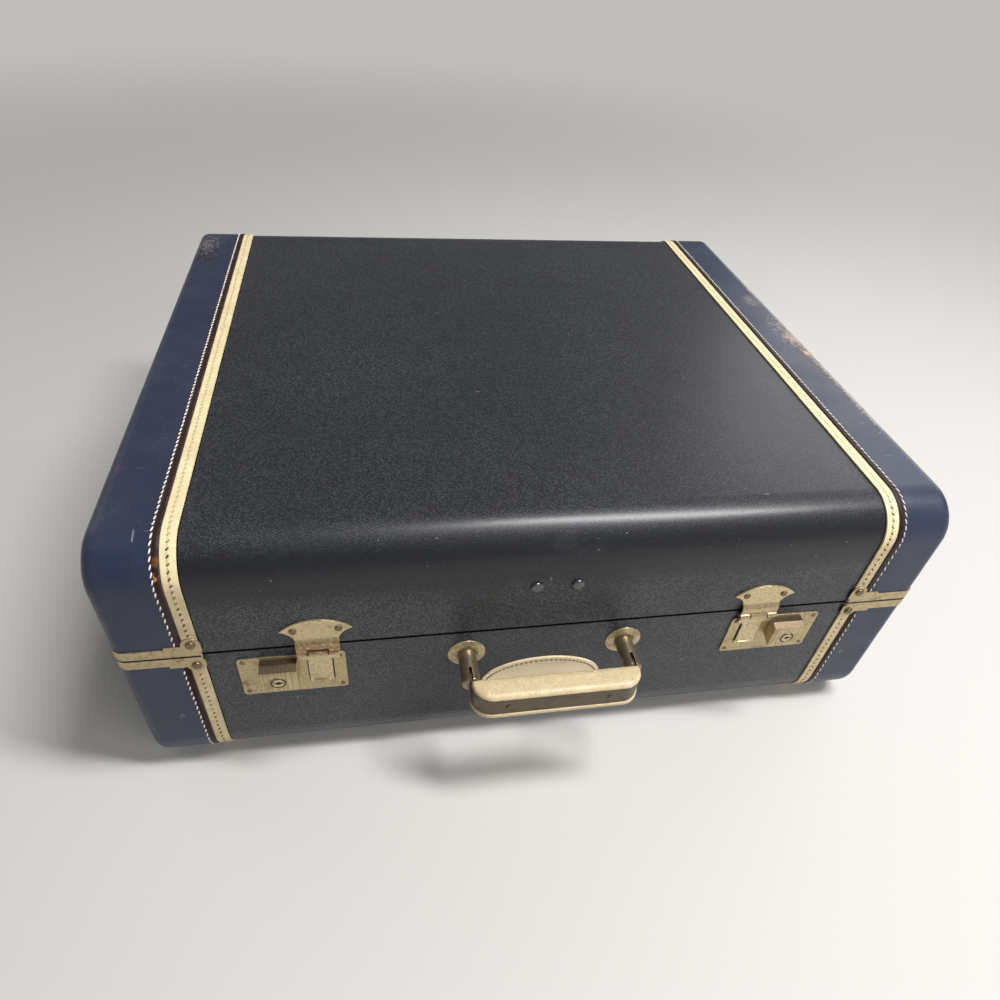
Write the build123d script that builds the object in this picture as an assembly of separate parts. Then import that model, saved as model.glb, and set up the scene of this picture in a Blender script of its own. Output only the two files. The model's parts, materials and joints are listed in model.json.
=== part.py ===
from build123d import *
import math
import os

# A hard-sided suitcase, lying on its broad face. X runs along the case, -Y is the front with
# the handle and the two latches, +Y is the hinge side, and Z is up. Sizes are in millimetres.

# The case
case_length = 533.0
case_depth = 469.0
case_height = 208.0
top_radius = 28.0
bottom_radius = 34.0
end_radius = 8.0
parting_z = 124.0
parting_gap = 0.8

# The layers of its wall, counted inwards from the leather
leather = 1.9
canvas_inset = 1.15
welt_inset = 0.1
glue_line = 0.05
board = 4.0
lining = 0.6
frame_wood = 5.0
frame_height = 10.0
tongue_height = 6.0
tongue_gap = 0.4
lid_frame_height = 12.0

# The leather end caps, the pale welts and the brass edge guards
welt_middle = 220.8
welt_width = 8.5
seam_gap = 0.1
guard_brass = 0.7
guard_strip = 7.5
guard_step = 2.0
guard_step_end = 236.5
guard_inner_end = 215.1
guard_tab_radius = 5.6
guard_lid_rivet_rise = 10.6
guard_body_rivet_drop = 8.2
guard_rivet_radius = 3.0

# The lock plates
lock_x = 165.4
plate_width = 66.0
plate_height = 37.0
plate_drop = 8.2
plate_brass = 1.0
plate_corner = 2.6
nail_edge = 3.4
nail_radius = 0.8
nail_head_radius = 1.6
nail_length = 4.0
nail_head = 0.4
window_side_gap = 0.3
window_below_tongue = 0.6

# The lock cases behind them
case_brass = 0.6
case_back = 4.7
case_inboard = 26.6
case_outboard = 25.0
case_rise = 13.6
case_fall = 11.4

# The slide buttons, their bolts and springs
button_offset = 8.1
button_width = 22.7
button_proud = 9.5
button_shoulder = 5.0
button_rise = 15.6
button_face_rise = 13.3
button_face_fall = 5.0
button_foot_fall = 1.2
slide_travel = 6.0
stem_size = 5.0
stem_offset = 5.5
stem_z = 3.1
bolt_brass = 1.4
bolt_height = 10.0
bolt_length = 28.7
nose_height = 4.0
nose_length = 8.0
nose_gap = 0.4
spring_steel = 0.35
spring_bends = 7
spring_width = 4.0
running_gap = 0.05
slide_gap = 0.2

# The key cylinders
key_offset = 0.8
key_z = 2.9
key_radius = 5.0
key_depth = 6.0
keyhole_width = 1.3
keyhole_length = 6.4
keyhole_depth = 3.0

# The hasps
hasp_x = 148.3
hasp_brass = 1.2
hasp_tip_half = 21.8
hasp_tip_rise = 15.2
hasp_arc_rise = 24.4
hasp_neck_half = 13.3
hasp_neck_rise = 6.6
hasp_rivet_half = 13.5
hasp_rivet_rise = 15.6
hasp_bend_proud = 2.0
pin_proud = 2.6
pin_drop = 4.2
pin_radius = 1.1
knuckle_radius = 2.4
knuckle_half = 6.2
knuckle_gap = 0.25
tongue_half = 7.75
tongue_bottom_drop = 36.0
tongue_seat = 0.25
shoulder_half = 12.5
shoulder_fall = 6.8
shoulder_brass = 1.3
lip_half = 5.0
lip_radius = 1.0
staple_half = 3.0
staple_top_drop = 24.3
staple_height = 7.0
staple_depth = 3.4
staple_eye = 1.5
channel_gap = 0.6

# The handle
post_x = 54.3
post_z = 102.5
post_radius = 6.0
post_reach = 26.0
post_end_radius = 2.0
post_slot = 2.2
post_slot_length = 10.5
post_cut = 9.0
tenon_radius = 4.0
washer_radius = 12.5
washer_height = 2.0
washer_rim = 0.7
ear_pin_reach = 21.0
ear_pin_radius = 1.5
ear_radius = 4.5
band_steel = 1.5
band_height = 14.0
band_reach = 44.0
band_corner = 13.0
band_flare_start = 26.6
band_flare_end = 31.0
grip_rear = 28.7
grip_corner = 2.0
grip_pad = 3.2
grip_edge = 2.2
grip_lip = 0.8
grip_rivet_half = 33.0
grip_rivet_radius = 1.9
backplate_steel = 1.4
backplate_overhang = 12.0
backplate_height = 17.0

# The stitched patch behind the handle and the two rivets above it
patch_half_width = 43.0
patch_half_height = 24.0
patch_z = 66.5
patch_leather = 1.4
front_rivet_half = 13.2
front_rivet_z = 163.3
front_rivet_radius = 4.0
front_rivet_height = 2.0
shank_radius = 1.2

# The hinges on the back
hinge_x = 150.0
hinge_width = 56.0
leaf_height = 22.0
leaf_brass = 1.2
barrel_radius = 3.0
barrel_pin_radius = 1.4
barrel_seat = 0.2
hinge_rivet_spread = 20.0
hinge_rivet_height = 14.0
hinge_rivet_radius = 2.6
hinge_rivet_head = 0.9

# The dome feet on the back
foot_x = 200.0
foot_radius = 9.0
foot_height = 9.0
body_foot_z = 48.0
lid_foot_z = 162.0

# The folding lid stays
stay_reach = 140.0
stay_body_drop = 6.0
stay_lid_rise = 11.5
stay_steel = 1.5
stay_height = 10.0
stay_stud_radius = 2.5
stay_head_radius = 4.2
stay_head = 0.9
stay_gap = 0.2
stay_wall_gap = 1.4
elbow_gap = 0.3

# The pocket in the lid
pocket_length = 400.0
pocket_depth = 210.0
pocket_fullness = 12.0
pocket_cloth = 1.2
pocket_hinge_gap = 18.0
pocket_corner = 16.0

# Worked out from the sizes above
front_face = case_depth / 2 - canvas_inset
board_inset = leather + glue_line
board_inner = board_inset + board
frame_inset = board_inner + glue_line
frame_inner = frame_inset + frame_wood
body_top = parting_z - parting_gap / 2
lid_bottom = parting_z + parting_gap / 2
tongue_top = body_top + tongue_height
plate_top = parting_z - plate_drop
plate_z = plate_top - plate_height / 2
hinge_proud = barrel_radius + barrel_seat
hinge_z = parting_z
pin_z = parting_z - pin_drop
grip_reach = band_reach + grip_lip
handle_half = post_x + band_steel / 2
centre_shift = (grip_reach - foot_height - glue_line) / 2
far = 2 * case_length

os.makedirs("parts", exist_ok=True)


# Helpers

def prism(x0, x1, y0, y1, z0, z1):
    """A box between two corners."""
    return Pos((x0 + x1) / 2, (y0 + y1) / 2, (z0 + z1) / 2) * Box(x1 - x0, y1 - y0, z1 - z0)


def front_box(x0, x1, out0, out1, z0, z1):
    """A box whose depth is counted outwards from the canvas of the front wall."""
    return prism(x0, x1, -front_face - out1, -front_face - out0, z0, z1)


def front_plane(x, z, out):
    """A plane parallel to the front wall, facing outwards."""
    return Plane(origin=(x, -front_face - out, z), x_dir=(1, 0, 0), z_dir=(0, -1, 0))


def side_plane(x):
    """A plane square to X, with its first axis outwards from the front wall and its second up."""
    return Plane(origin=(x, -front_face, 0), x_dir=(0, -1, 0), z_dir=(-1, 0, 0))


def front_pin(x, z, out0, out1, radius):
    """A round pin standing square to the front wall."""
    return extrude(front_plane(x, z, out0) * Circle(radius), amount=out1 - out0)


def cross_pin(x0, x1, out, z, radius):
    """A round pin along X."""
    face = side_plane((x0 + x1) / 2) * (Pos(out, z) * Circle(radius))
    return extrude(face, amount=(x1 - x0) / 2, both=True)


def side_prism(outline, x_middle, width):
    """An outline of (outwards, up) points or a sketch, pushed along X."""
    if isinstance(outline, list):
        outline = make_face(Polyline(*outline, close=True))
    return extrude(side_plane(x_middle) * outline, amount=width / 2, both=True)


def dome(x, z, out, radius, height, rounding=0.8):
    """A low domed head on the front wall."""
    head = extrude(front_plane(x, z, out) * Circle(radius), amount=height)
    rim = head.edges().filter_by(GeomType.CIRCLE).sort_by(Axis.Y)[0]
    return fillet(rim, height * rounding)


def button_head(x, z, out, radius, height):
    """A small flat head with a bevelled rim on the front wall."""
    head = extrude(front_plane(x, z, out) * Circle(radius), amount=height)
    rim = head.edges().filter_by(GeomType.CIRCLE).sort_by(Axis.Y)[0]
    return chamfer(rim, height * 0.6)


def to_back(shape):
    """The same piece on the back wall."""
    return mirror(shape, about=Plane.XZ)


def to_left(shape):
    """The same piece on the other side of the middle."""
    return mirror(shape, about=Plane.YZ)


def both_sides(shape):
    """A piece and its twin on the other side of the middle."""
    return [shape, to_left(shape)]


def save(name, *shapes):
    """Write one sub-part, moved so that the whole stands centred over the origin."""
    solids = [Pos(0, centre_shift, 0) * solid for shape in shapes for solid in shape.solids()]
    export_step(solids[0] if len(solids) == 1 else Compound(solids), f"parts/{name}.step")


def case_block(inset):
    """The outside of the case, drawn in by an inset: a rounded side view pushed along the case."""
    side = Rectangle(case_depth - 2 * inset, case_height - 2 * inset)
    side = fillet(side.vertices().group_by(Axis.Y)[-1], max(top_radius - inset, 1.0))
    side = fillet(side.vertices().group_by(Axis.Y)[0], max(bottom_radius - inset, 1.0))
    side = Plane.YZ * (Pos(0, case_height / 2) * side)
    block = extrude(side, amount=case_length / 2 - inset, both=True)
    if end_radius - inset > 0.5:
        ends = block.faces().filter_by(Axis.X).edges()
        block = fillet(ends, end_radius - inset)
    return block


def wall(outer, inner):
    """The closed wall between two insets."""
    return case_block(outer) - case_block(inner)


def between(shape, z0, z1):
    """The slice of a shape between two heights."""
    return shape & prism(-far, far, -far, far, z0, z1)


def beyond(shape, x0, x1):
    """The slice of a shape at the +X end."""
    return shape & prism(x0, x1, -far, far, -far, far)


# The boards, canvas, leather and welts of both halves

welt_inner = welt_middle - welt_width / 2
welt_outer = welt_middle + welt_width / 2

board_wall = wall(board_inset, board_inner)
canvas_wall = wall(canvas_inset, leather)
canvas_wall = canvas_wall & prism(
    -welt_inner + seam_gap, welt_inner - seam_gap, -far, far, -far, far)
welt_wall = beyond(wall(welt_inset, leather), welt_inner, welt_outer)
cap_wall = beyond(wall(0, leather), welt_outer + seam_gap, far)
lining_wall = wall(frame_inset, frame_inset + lining)

body_shell = between(board_wall, 0, body_top)
lid_shell = between(board_wall, lid_bottom, far)
body_canvas = between(canvas_wall, 0, body_top)
lid_canvas = between(canvas_wall, lid_bottom, far)

# The wooden frames: the body's stands up as a tongue inside the lid

body_frame = between(wall(frame_inset, frame_inner), body_top - frame_height, body_top)
body_frame += between(wall(frame_inset + tongue_gap, frame_inner), body_top, tongue_top)
lid_frame_bottom = tongue_top + 0.5
lid_frame_top = lid_frame_bottom + lid_frame_height
lid_frame = between(wall(frame_inset, frame_inner), lid_frame_bottom, lid_frame_top)
body_lining = between(lining_wall, 0, body_top - frame_height - 0.3)
lid_lining = between(lining_wall, lid_frame_top + 0.3, far)


# The brass edge guards: a strip round each end, with a stepped tab and a rivet at each corner

def guard(low, high, step_low, step_high, rivet_z):
    """One guard at the +X end, between two heights."""
    belt = wall(-guard_brass - glue_line, -glue_line)
    strip = beyond(between(belt, low, high), guard_step_end - 1, far)
    step = beyond(between(belt, step_low, step_high), guard_inner_end + 1.6, guard_step_end)
    end_face = case_depth / 2 + glue_line
    plane = Plane(origin=(welt_middle, -end_face, rivet_z), x_dir=(1, 0, 0), z_dir=(0, -1, 0))
    tab_face = plane * Circle(guard_tab_radius)
    tab = extrude(tab_face, amount=guard_brass)
    tongue_low = min(rivet_z, (low + high) / 2)
    tongue_high = max(rivet_z, (low + high) / 2)
    tab += prism(welt_middle - guard_tab_radius, welt_middle + guard_tab_radius,
                 -end_face - guard_brass, -end_face, tongue_low, tongue_high)
    clip = between(tab, min(low, rivet_z - guard_tab_radius) - 1, high) if rivet_z < parting_z \
        else between(tab, low, far)
    return strip + step + clip + to_back(clip)


body_guard = guard(body_top - guard_strip, body_top,
                   body_top - guard_strip - guard_step, body_top,
                   body_top - guard_body_rivet_drop)
lid_guard = guard(lid_bottom, lid_bottom + guard_strip,
                  lid_bottom, lid_bottom + guard_strip + guard_step,
                  lid_bottom + guard_lid_rivet_rise)


def guard_rivet(z):
    """A domed rivet through a guard's tab, on the front at the +X end."""
    proud = canvas_inset + glue_line + guard_brass
    head = dome(welt_middle, z, proud + glue_line, guard_rivet_radius, 1.3)
    return head + front_pin(welt_middle, z, -board, proud + glue_line, shank_radius)


def pierce_guard(shape, z):
    """The hole for the rivet's shank, at the front and the back."""
    hole = front_pin(welt_middle, z, -board, 4.0, shank_radius + running_gap)
    return shape - hole - to_back(hole)


body_rivet_z = body_top - guard_body_rivet_drop
lid_rivet_z = lid_bottom + guard_lid_rivet_rise
body_guard = pierce_guard(body_guard, body_rivet_z)
lid_guard = pierce_guard(lid_guard, lid_rivet_z)


# The lock, drawn for the +X side; every height is counted from the plate's middle

def lock_box(in0, in1, out0, out1, z0, z1):
    """A box in the lock: across from the plate's middle, outwards from the canvas, up from it."""
    return front_box(lock_x + in0, lock_x + in1, out0, out1, plate_z + z0, plate_z + z1)


tongue_across = hasp_x - lock_x
window_half = tongue_half + window_side_gap
tongue_bottom = parting_z - tongue_bottom_drop
window_bottom = tongue_bottom - window_below_tongue - plate_z
channel_half = staple_half + channel_gap

plate_face = RectangleRounded(plate_width, plate_height, plate_corner)
lock_plate = extrude(front_plane(lock_x, plate_z, glue_line) * plate_face, amount=plate_brass)
lock_plate = lock_plate - lock_box(tongue_across - window_half, tongue_across + window_half,
                                   -1, 3, window_bottom, far)

stem_low = stem_offset - stem_size / 2
stem_high = stem_offset + stem_size / 2
lock_plate = lock_plate - lock_box(stem_low - slide_gap, stem_high + slide_travel + slide_gap,
                                   -1, 3, stem_z - stem_size / 2 - slide_gap,
                                   stem_z + stem_size / 2 + slide_gap)

nail_spots = [(lock_x + sx * (plate_width / 2 - nail_edge), plate_z + sz * (plate_height / 2 - nail_edge))
              for sx in (-1, 1) for sz in (-1, 1)]
lock_nails = []
for x, z in nail_spots:
    lock_plate = lock_plate - front_pin(x, z, -1, 3, nail_radius + running_gap)
    nail = button_head(x, z, plate_brass + 2 * glue_line, nail_head_radius, nail_head)
    nail += front_pin(x, z, plate_brass + 2 * glue_line - nail_length, plate_brass + 2 * glue_line,
                      nail_radius)
    lock_nails.append(nail)

lock_case = lock_box(-case_inboard, case_outboard, -case_back, -glue_line, -case_fall, case_rise)
lock_case = lock_case - lock_box(-case_inboard + case_brass, case_outboard - case_brass,
                                 -case_back + case_brass, 1,
                                 -case_fall + case_brass, case_rise - case_brass)
staple_channel = front_box(hasp_x - channel_half, hasp_x + channel_half,
                           -staple_depth - channel_gap, 1, plate_z, far)
lock_case = lock_case - staple_channel

mortise = lock_box(-case_inboard - glue_line, case_outboard + glue_line, -far, 1,
                   -case_fall - glue_line, case_rise + glue_line)

# The slide button: a block with a bevelled top, on a stem through the plate

seat = plate_brass + glue_line + 0.1
button_profile = [
    (seat, -button_foot_fall), (seat, button_rise), (button_shoulder, button_rise),
    (button_proud, button_face_rise), (button_proud, -button_face_fall)]
button_profile = [(out, plate_z + up) for out, up in button_profile]
slide_button = side_prism(button_profile, lock_x + button_offset, button_width)
slide_button = fillet(slide_button.edges().filter_by(Axis.Z).sort_by(Axis.Y)[:2], 0.6)
bolt_front = -glue_line - slide_gap
bolt_back = bolt_front - bolt_brass
slide_button += lock_box(stem_low, stem_high, bolt_back, seat + 1,
                         stem_z - stem_size / 2, stem_z + stem_size / 2)

key_x = lock_x + button_offset + key_offset
key_bore = front_pin(key_x, plate_z + key_z, button_proud - key_depth, far, key_radius + running_gap)
slide_button = slide_button - key_bore

# The bolt behind the plate stops just short of the staple, so that the lid can be tried alone

nose_end = tongue_across + staple_half + nose_gap
bolt_start = nose_end + nose_length
slide_bolt = lock_box(bolt_start, nose_end + bolt_length, bolt_back, bolt_front,
                      stem_z - bolt_height / 2, stem_z + bolt_height / 2)
slide_bolt += lock_box(nose_end, bolt_start, bolt_back, bolt_front,
                       stem_z - bolt_height / 2, stem_z - bolt_height / 2 + nose_height)
slide_bolt = slide_bolt - lock_box(stem_low - glue_line, stem_high + glue_line, -far, far,
                                   stem_z - stem_size / 2 - glue_line,
                                   stem_z + stem_size / 2 + glue_line)

spring_start = nose_end + bolt_length + 0.3
spring_end = case_outboard - case_brass - 0.3
spring_pitch = (spring_end - spring_start - spring_steel) / (spring_bends - 1)
zigzag = [(spring_start + i * spring_pitch, (-1) ** i * spring_width / 2) for i in range(spring_bends)]
spring_legs = [
    make_face(Polyline((x0, z0), (x0 + spring_steel, z0), (x1 + spring_steel, z1), (x1, z1), close=True))
    for (x0, z0), (x1, z1) in zip(zigzag, zigzag[1:])]
spring_face = spring_legs[0] + spring_legs[1:]
lock_spring = extrude(front_plane(lock_x, plate_z + stem_z, bolt_back) * spring_face,
                      amount=bolt_brass)

# The key cylinder in the button's face

key_cylinder = front_pin(key_x, plate_z + key_z, button_proud - key_depth + 0.1,
                         button_proud + 0.3, key_radius)
keyhole = RectangleRounded(keyhole_length, keyhole_width, keyhole_width * 0.45)
keyhole += Circle(keyhole_width * 0.9)
key_cylinder = key_cylinder - extrude(
    front_plane(key_x, plate_z + key_z, button_proud + 0.3 - keyhole_depth) * keyhole, amount=far)

# The hasp: a crescent on the lid, a pinned tongue and a staple behind it

tip_z = parting_z + hasp_tip_rise
arc_z = parting_z + hasp_arc_rise
neck_z = parting_z + hasp_neck_rise
flank = (hasp_tip_half - hasp_neck_half) * 0.3
arc_up = ThreePointArc((-hasp_tip_half, tip_z), (0, arc_z), (hasp_tip_half, tip_z))
flank_right = ThreePointArc((hasp_tip_half, tip_z),
                            (hasp_neck_half + flank, tip_z - (tip_z - neck_z) * 0.42),
                            (hasp_neck_half, neck_z))
neck_line = Line((hasp_neck_half, neck_z), (-hasp_neck_half, neck_z))
flank_left = ThreePointArc((-hasp_neck_half, neck_z),
                           (-hasp_neck_half - flank, tip_z - (tip_z - neck_z) * 0.42),
                           (-hasp_tip_half, tip_z))
crescent_face = make_face(arc_up + flank_right + neck_line + flank_left)
crescent_plane = Plane(origin=(hasp_x, -front_face - glue_line, 0), x_dir=(1, 0, 0), z_dir=(0, -1, 0))
crescent = extrude(crescent_plane * crescent_face, amount=hasp_brass)

bend_inner = glue_line + hasp_bend_proud
bend_outer = bend_inner + hasp_brass
bend_z = neck_z - 3.6
neck_profile = [
    (glue_line, neck_z + 0.6), (glue_line, neck_z), (bend_inner, bend_z), (bend_inner, pin_z),
    (bend_outer, pin_z), (bend_outer, bend_z + 0.5), (glue_line + hasp_brass, neck_z + 0.6)]
hasp_neck = side_prism(neck_profile, hasp_x, 2 * hasp_neck_half)
hasp_neck += cross_pin(hasp_x - hasp_neck_half, hasp_x + hasp_neck_half, pin_proud, pin_z, knuckle_radius)
knuckle_clear = knuckle_radius + knuckle_gap
hasp_neck = hasp_neck - front_box(hasp_x - knuckle_half - knuckle_gap, hasp_x + knuckle_half + knuckle_gap,
                                  -1, 9, pin_z - knuckle_clear, pin_z + knuckle_clear)
pin_bore = cross_pin(hasp_x - 2 * hasp_neck_half, hasp_x + 2 * hasp_neck_half, pin_proud, pin_z,
                     pin_radius + running_gap)
hasp_plate = crescent + hasp_neck - pin_bore

hasp_rivets = []
for sx in (-1, 1):
    rx = hasp_x + sx * hasp_rivet_half
    rz = parting_z + hasp_rivet_rise
    hasp_plate = hasp_plate - front_pin(rx, rz, -1, 3, shank_radius + running_gap)
    rivet = dome(rx, rz, hasp_brass + 2 * glue_line, 2.4, 0.9)
    rivet += front_pin(rx, rz, -board, hasp_brass + 2 * glue_line, shank_radius)
    hasp_rivets.append(rivet)

hasp_pin = cross_pin(hasp_x - hasp_neck_half, hasp_x + hasp_neck_half, pin_proud, pin_z, pin_radius)

shoulder_top = pin_z - knuckle_clear - 0.05
shoulder_bottom = pin_z - shoulder_fall
shoulder_out = plate_brass + 2 * glue_line + nail_head + 0.15
tongue_out = tongue_seat + hasp_brass
tongue_profile = [
    (tongue_seat, tongue_bottom), (tongue_seat, shoulder_top + 0.4), (pin_proud - 1.2, pin_z),
    (pin_proud + 0.8, pin_z), (shoulder_out + shoulder_brass, shoulder_top),
    (shoulder_out + shoulder_brass, shoulder_bottom), (tongue_out, shoulder_bottom - 0.8),
    (tongue_out, tongue_bottom)]
tongue = side_prism(tongue_profile, hasp_x, 2 * tongue_half)
tongue = tongue - front_box(hasp_x + knuckle_half, far, -1, 9, shoulder_top, pin_z + knuckle_radius)
tongue = tongue - front_box(-far, hasp_x - knuckle_half, -1, 9, shoulder_top, pin_z + knuckle_radius)
tongue += front_box(hasp_x - shoulder_half, hasp_x + shoulder_half, shoulder_out,
                    shoulder_out + shoulder_brass, shoulder_bottom, shoulder_top)
tongue += cross_pin(hasp_x - knuckle_half, hasp_x + knuckle_half, pin_proud, pin_z, knuckle_radius)
tongue += cross_pin(hasp_x - lip_half, hasp_x + lip_half, tongue_out, tongue_bottom + lip_radius, lip_radius)
staple_top = parting_z - staple_top_drop
staple = front_box(hasp_x - staple_half, hasp_x + staple_half, -staple_depth, tongue_seat + 0.5,
                   staple_top - staple_height, staple_top)
staple = fillet(staple.edges().filter_by(Axis.X).sort_by(Axis.Y)[-2:], 1.2)
staple = staple - cross_pin(hasp_x - 3 * staple_half, hasp_x + 3 * staple_half, -staple_depth / 2, staple_top - staple_height / 2,
                            staple_eye)
hasp_tongue = tongue + staple - pin_bore

# The mortise goes through the canvas and the board, and the staple's channel runs up from it

lock_cut = (mortise & front_box(-far, far, -2 * case_back, 1, 0, far)) + staple_channel
for cut in both_sides(lock_cut):
    body_shell = body_shell - cut
    body_canvas = body_canvas - cut

# The handle: posts and washers on the front wall, riveted to a steel plate let into the board

post_slot_start = post_reach - post_slot_length
post = front_pin(post_x, post_z, glue_line, post_reach, post_radius)
post_end = post.edges().filter_by(GeomType.CIRCLE).sort_by(Axis.Y)[0]
post = fillet(post_end, post_end_radius)
slot_cut = front_box(post_x - post_slot / 2, post_x + post_slot / 2, post_slot_start + post_slot / 2,
                     post_reach + 1, post_z - post_cut, post_z + post_cut)
slot_end = extrude(Plane(origin=(post_x, -front_face - post_slot_start - post_slot / 2, post_z - post_cut))
                   * Circle(post_slot / 2), amount=2 * post_cut)
post = post - slot_cut - slot_end
post = post - cross_pin(post_x - post_cut, post_x + post_cut, ear_pin_reach, post_z, ear_pin_radius + running_gap)
plate_back = board_inner - canvas_inset
tenon = front_pin(post_x, post_z, -plate_back, glue_line + 0.5, tenon_radius)
post += tenon

washer_outline = [
    (post_radius + running_gap, glue_line), (washer_radius, glue_line), (washer_radius, washer_rim),
    (post_radius + 1.6, washer_height), (post_radius + running_gap, washer_height)]
washer_face = make_face(Polyline(*washer_outline, close=True))
washer_plane = Plane(origin=(post_x, -front_face, post_z), x_dir=(1, 0, 0), z_dir=(0, 0, 1))
washer = revolve(washer_plane * mirror(washer_face, about=Plane.XZ),
                 axis=Axis((post_x, -front_face, post_z), (0, 1, 0)))

backplate_half = post_x + backplate_overhang
backplate = front_box(-backplate_half, backplate_half, -plate_back, -plate_back + backplate_steel,
                      post_z - backplate_height / 2, post_z + backplate_height / 2)
backplate_pocket = front_box(-backplate_half - glue_line, backplate_half + glue_line, -plate_back - 1,
                             -plate_back + backplate_steel + glue_line,
                             post_z - backplate_height / 2 - glue_line,
                             post_z + backplate_height / 2 + glue_line)
body_shell = body_shell - backplate_pocket
tenon_hole = front_pin(post_x, post_z, -plate_back - 1, 1, tenon_radius + running_gap)
for hole in both_sides(tenon_hole):
    body_shell = body_shell - hole
    body_canvas = body_canvas - hole
    backplate = backplate - hole

# The handle's band: a bent strip whose narrow ears turn on pins in the posts


def grip_outline(grow, front, rear=None, rear_radius=0.0):
    """The grip's plan: a rounded front and, if asked, a closed rear. Points are (X, outwards)."""
    half = handle_half + grow
    corner = max(band_corner + grow, 1.0)
    back = ear_pin_reach - ear_radius if rear is None else rear
    face = Pos(0, (front + back) / 2) * Rectangle(2 * half, front - back)
    face = fillet(face.vertices().group_by(Axis.Y)[-1], corner)
    if rear_radius:
        face = fillet(face.vertices().group_by(Axis.Y)[0], rear_radius)
    return face


def grip_slab(face, z0, z1):
    """A plan of the grip, pushed up between two heights."""
    plane = Plane(origin=(0, -front_face, z0), x_dir=(1, 0, 0), z_dir=(0, 0, -1))
    return extrude(plane * face, amount=-(z1 - z0))


band_face = grip_outline(0, band_reach) - grip_outline(-band_steel, band_reach - band_steel)
band = grip_slab(band_face, post_z - band_height / 2, post_z + band_height / 2)
ear_shape = Pos(ear_pin_reach, post_z) * Circle(ear_radius)
ear_shape += make_face(Polyline(
    (ear_pin_reach, post_z - ear_radius), (band_flare_start, post_z - ear_radius),
    (band_flare_end, post_z - band_height / 2), (far, post_z - band_height / 2),
    (far, post_z + band_height / 2), (band_flare_end, post_z + band_height / 2),
    (band_flare_start, post_z + ear_radius), (ear_pin_reach, post_z + ear_radius), close=True))
band = band & side_prism(ear_shape, 0, far)
band = band - cross_pin(-far, far, ear_pin_reach, post_z, ear_pin_radius + running_gap)

ear_pin_half = math.sqrt(post_radius ** 2 - ear_pin_radius ** 2) - 0.1
ear_pin = cross_pin(post_x - ear_pin_half, post_x + ear_pin_half, ear_pin_reach, post_z, ear_pin_radius)

core_face = grip_outline(-band_steel - glue_line, band_reach - band_steel - glue_line, grip_rear, grip_corner)
grip_core = grip_slab(core_face, post_z - band_height / 2, post_z + band_height / 2)


def pad(low, grow, up):
    """A leather face of the grip with a rounded outer edge."""
    face = grip_outline(grow, band_reach + grow, grip_rear - 0.3, grip_corner)
    body = grip_slab(face, low, low + grip_pad)
    outer = body.faces().sort_by(Axis.Z)[-1 if up else 0].edges()
    return fillet(outer, grip_edge)


grip_top = pad(post_z + band_height / 2 + glue_line, 0.3, True)
grip_bottom = pad(post_z - band_height / 2 - glue_line - grip_pad, grip_lip, False)

handle_rivets = []
for sx in (-1, 1):
    rx = sx * grip_rivet_half
    band = band - front_pin(rx, post_z, band_reach - 4, band_reach + 4, shank_radius + running_gap)
    grip_core = grip_core - front_pin(rx, post_z, grip_rear + 4, band_reach + 4, shank_radius + running_gap)
    rivet = dome(rx, post_z, band_reach + glue_line, grip_rivet_radius, 0.7)
    rivet += front_pin(rx, post_z, grip_rear + 4.1, band_reach + glue_line, shank_radius)
    handle_rivets.append(rivet)

# The patch behind the handle and the two rivets on the lid

patch = extrude(front_plane(0, patch_z, glue_line) * Ellipse(patch_half_width, patch_half_height),
                amount=patch_leather)
patch = fillet(patch.edges().sort_by(Axis.Y)[0], 0.6)
front_rivet = dome(front_rivet_half, front_rivet_z, glue_line, front_rivet_radius, front_rivet_height)
front_rivet += front_pin(front_rivet_half, front_rivet_z, -board, glue_line, shank_radius)


# The hinges, drawn on the front wall and turned to the back

def leaf(upper):
    """One leaf with its knuckles: the lid's leaf has two, the body's has three."""
    low = hinge_z + 0.4 if upper else hinge_z - leaf_height
    high = hinge_z + leaf_height if upper else hinge_z - 0.4
    plate = front_box(hinge_x - hinge_width / 2, hinge_x + hinge_width / 2, glue_line,
                      glue_line + leaf_brass, low, high)
    step = hinge_width / 5
    wanted = (1, 3) if upper else (0, 2, 4)
    result = plate
    for i in range(5):
        x0 = hinge_x - hinge_width / 2 + i * step
        if i in wanted:
            reach = 0.1
            knuckle = cross_pin(x0 + reach, x0 + step - reach, hinge_proud, hinge_z, barrel_radius)
            web_low, web_high = (hinge_z, hinge_z + 4) if upper else (hinge_z - 4, hinge_z)
            web = front_box(x0 + reach, x0 + step - reach, glue_line, glue_line + leaf_brass,
                            web_low, web_high)
            result += knuckle + web
        else:
            result = result - front_box(x0 - 0.1, x0 + step + 0.1, -1, 9,
                                        hinge_z - barrel_radius - 0.3, hinge_z + barrel_radius + 0.3)
    bore = cross_pin(0, far, hinge_proud, hinge_z, barrel_pin_radius + running_gap)
    return result - bore


def hinge_rivet_spots(upper):
    """Where a leaf's rivets go."""
    z = hinge_z + hinge_rivet_height if upper else hinge_z - hinge_rivet_height
    return [(hinge_x + i * hinge_rivet_spread, z) for i in (-1, 0, 1)]


def riveted(upper):
    """A leaf with its holes, and its rivets."""
    plate, rivets = leaf(upper), []
    for x, z in hinge_rivet_spots(upper):
        plate = plate - front_pin(x, z, -1, 4, shank_radius + running_gap)
        out = leaf_brass + 2 * glue_line
        rivet = button_head(x, z, out, hinge_rivet_radius, hinge_rivet_head)
        rivet += front_pin(x, z, -board, out, shank_radius)
        rivets.append(to_back(rivet))
    return to_back(plate), rivets


body_leaf, body_leaf_rivets = riveted(False)
lid_leaf, lid_leaf_rivets = riveted(True)
hinge_pin = to_back(cross_pin(hinge_x - hinge_width / 2 + 0.2, hinge_x + hinge_width / 2 - 0.2,
                              hinge_proud, hinge_z, barrel_pin_radius))


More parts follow.
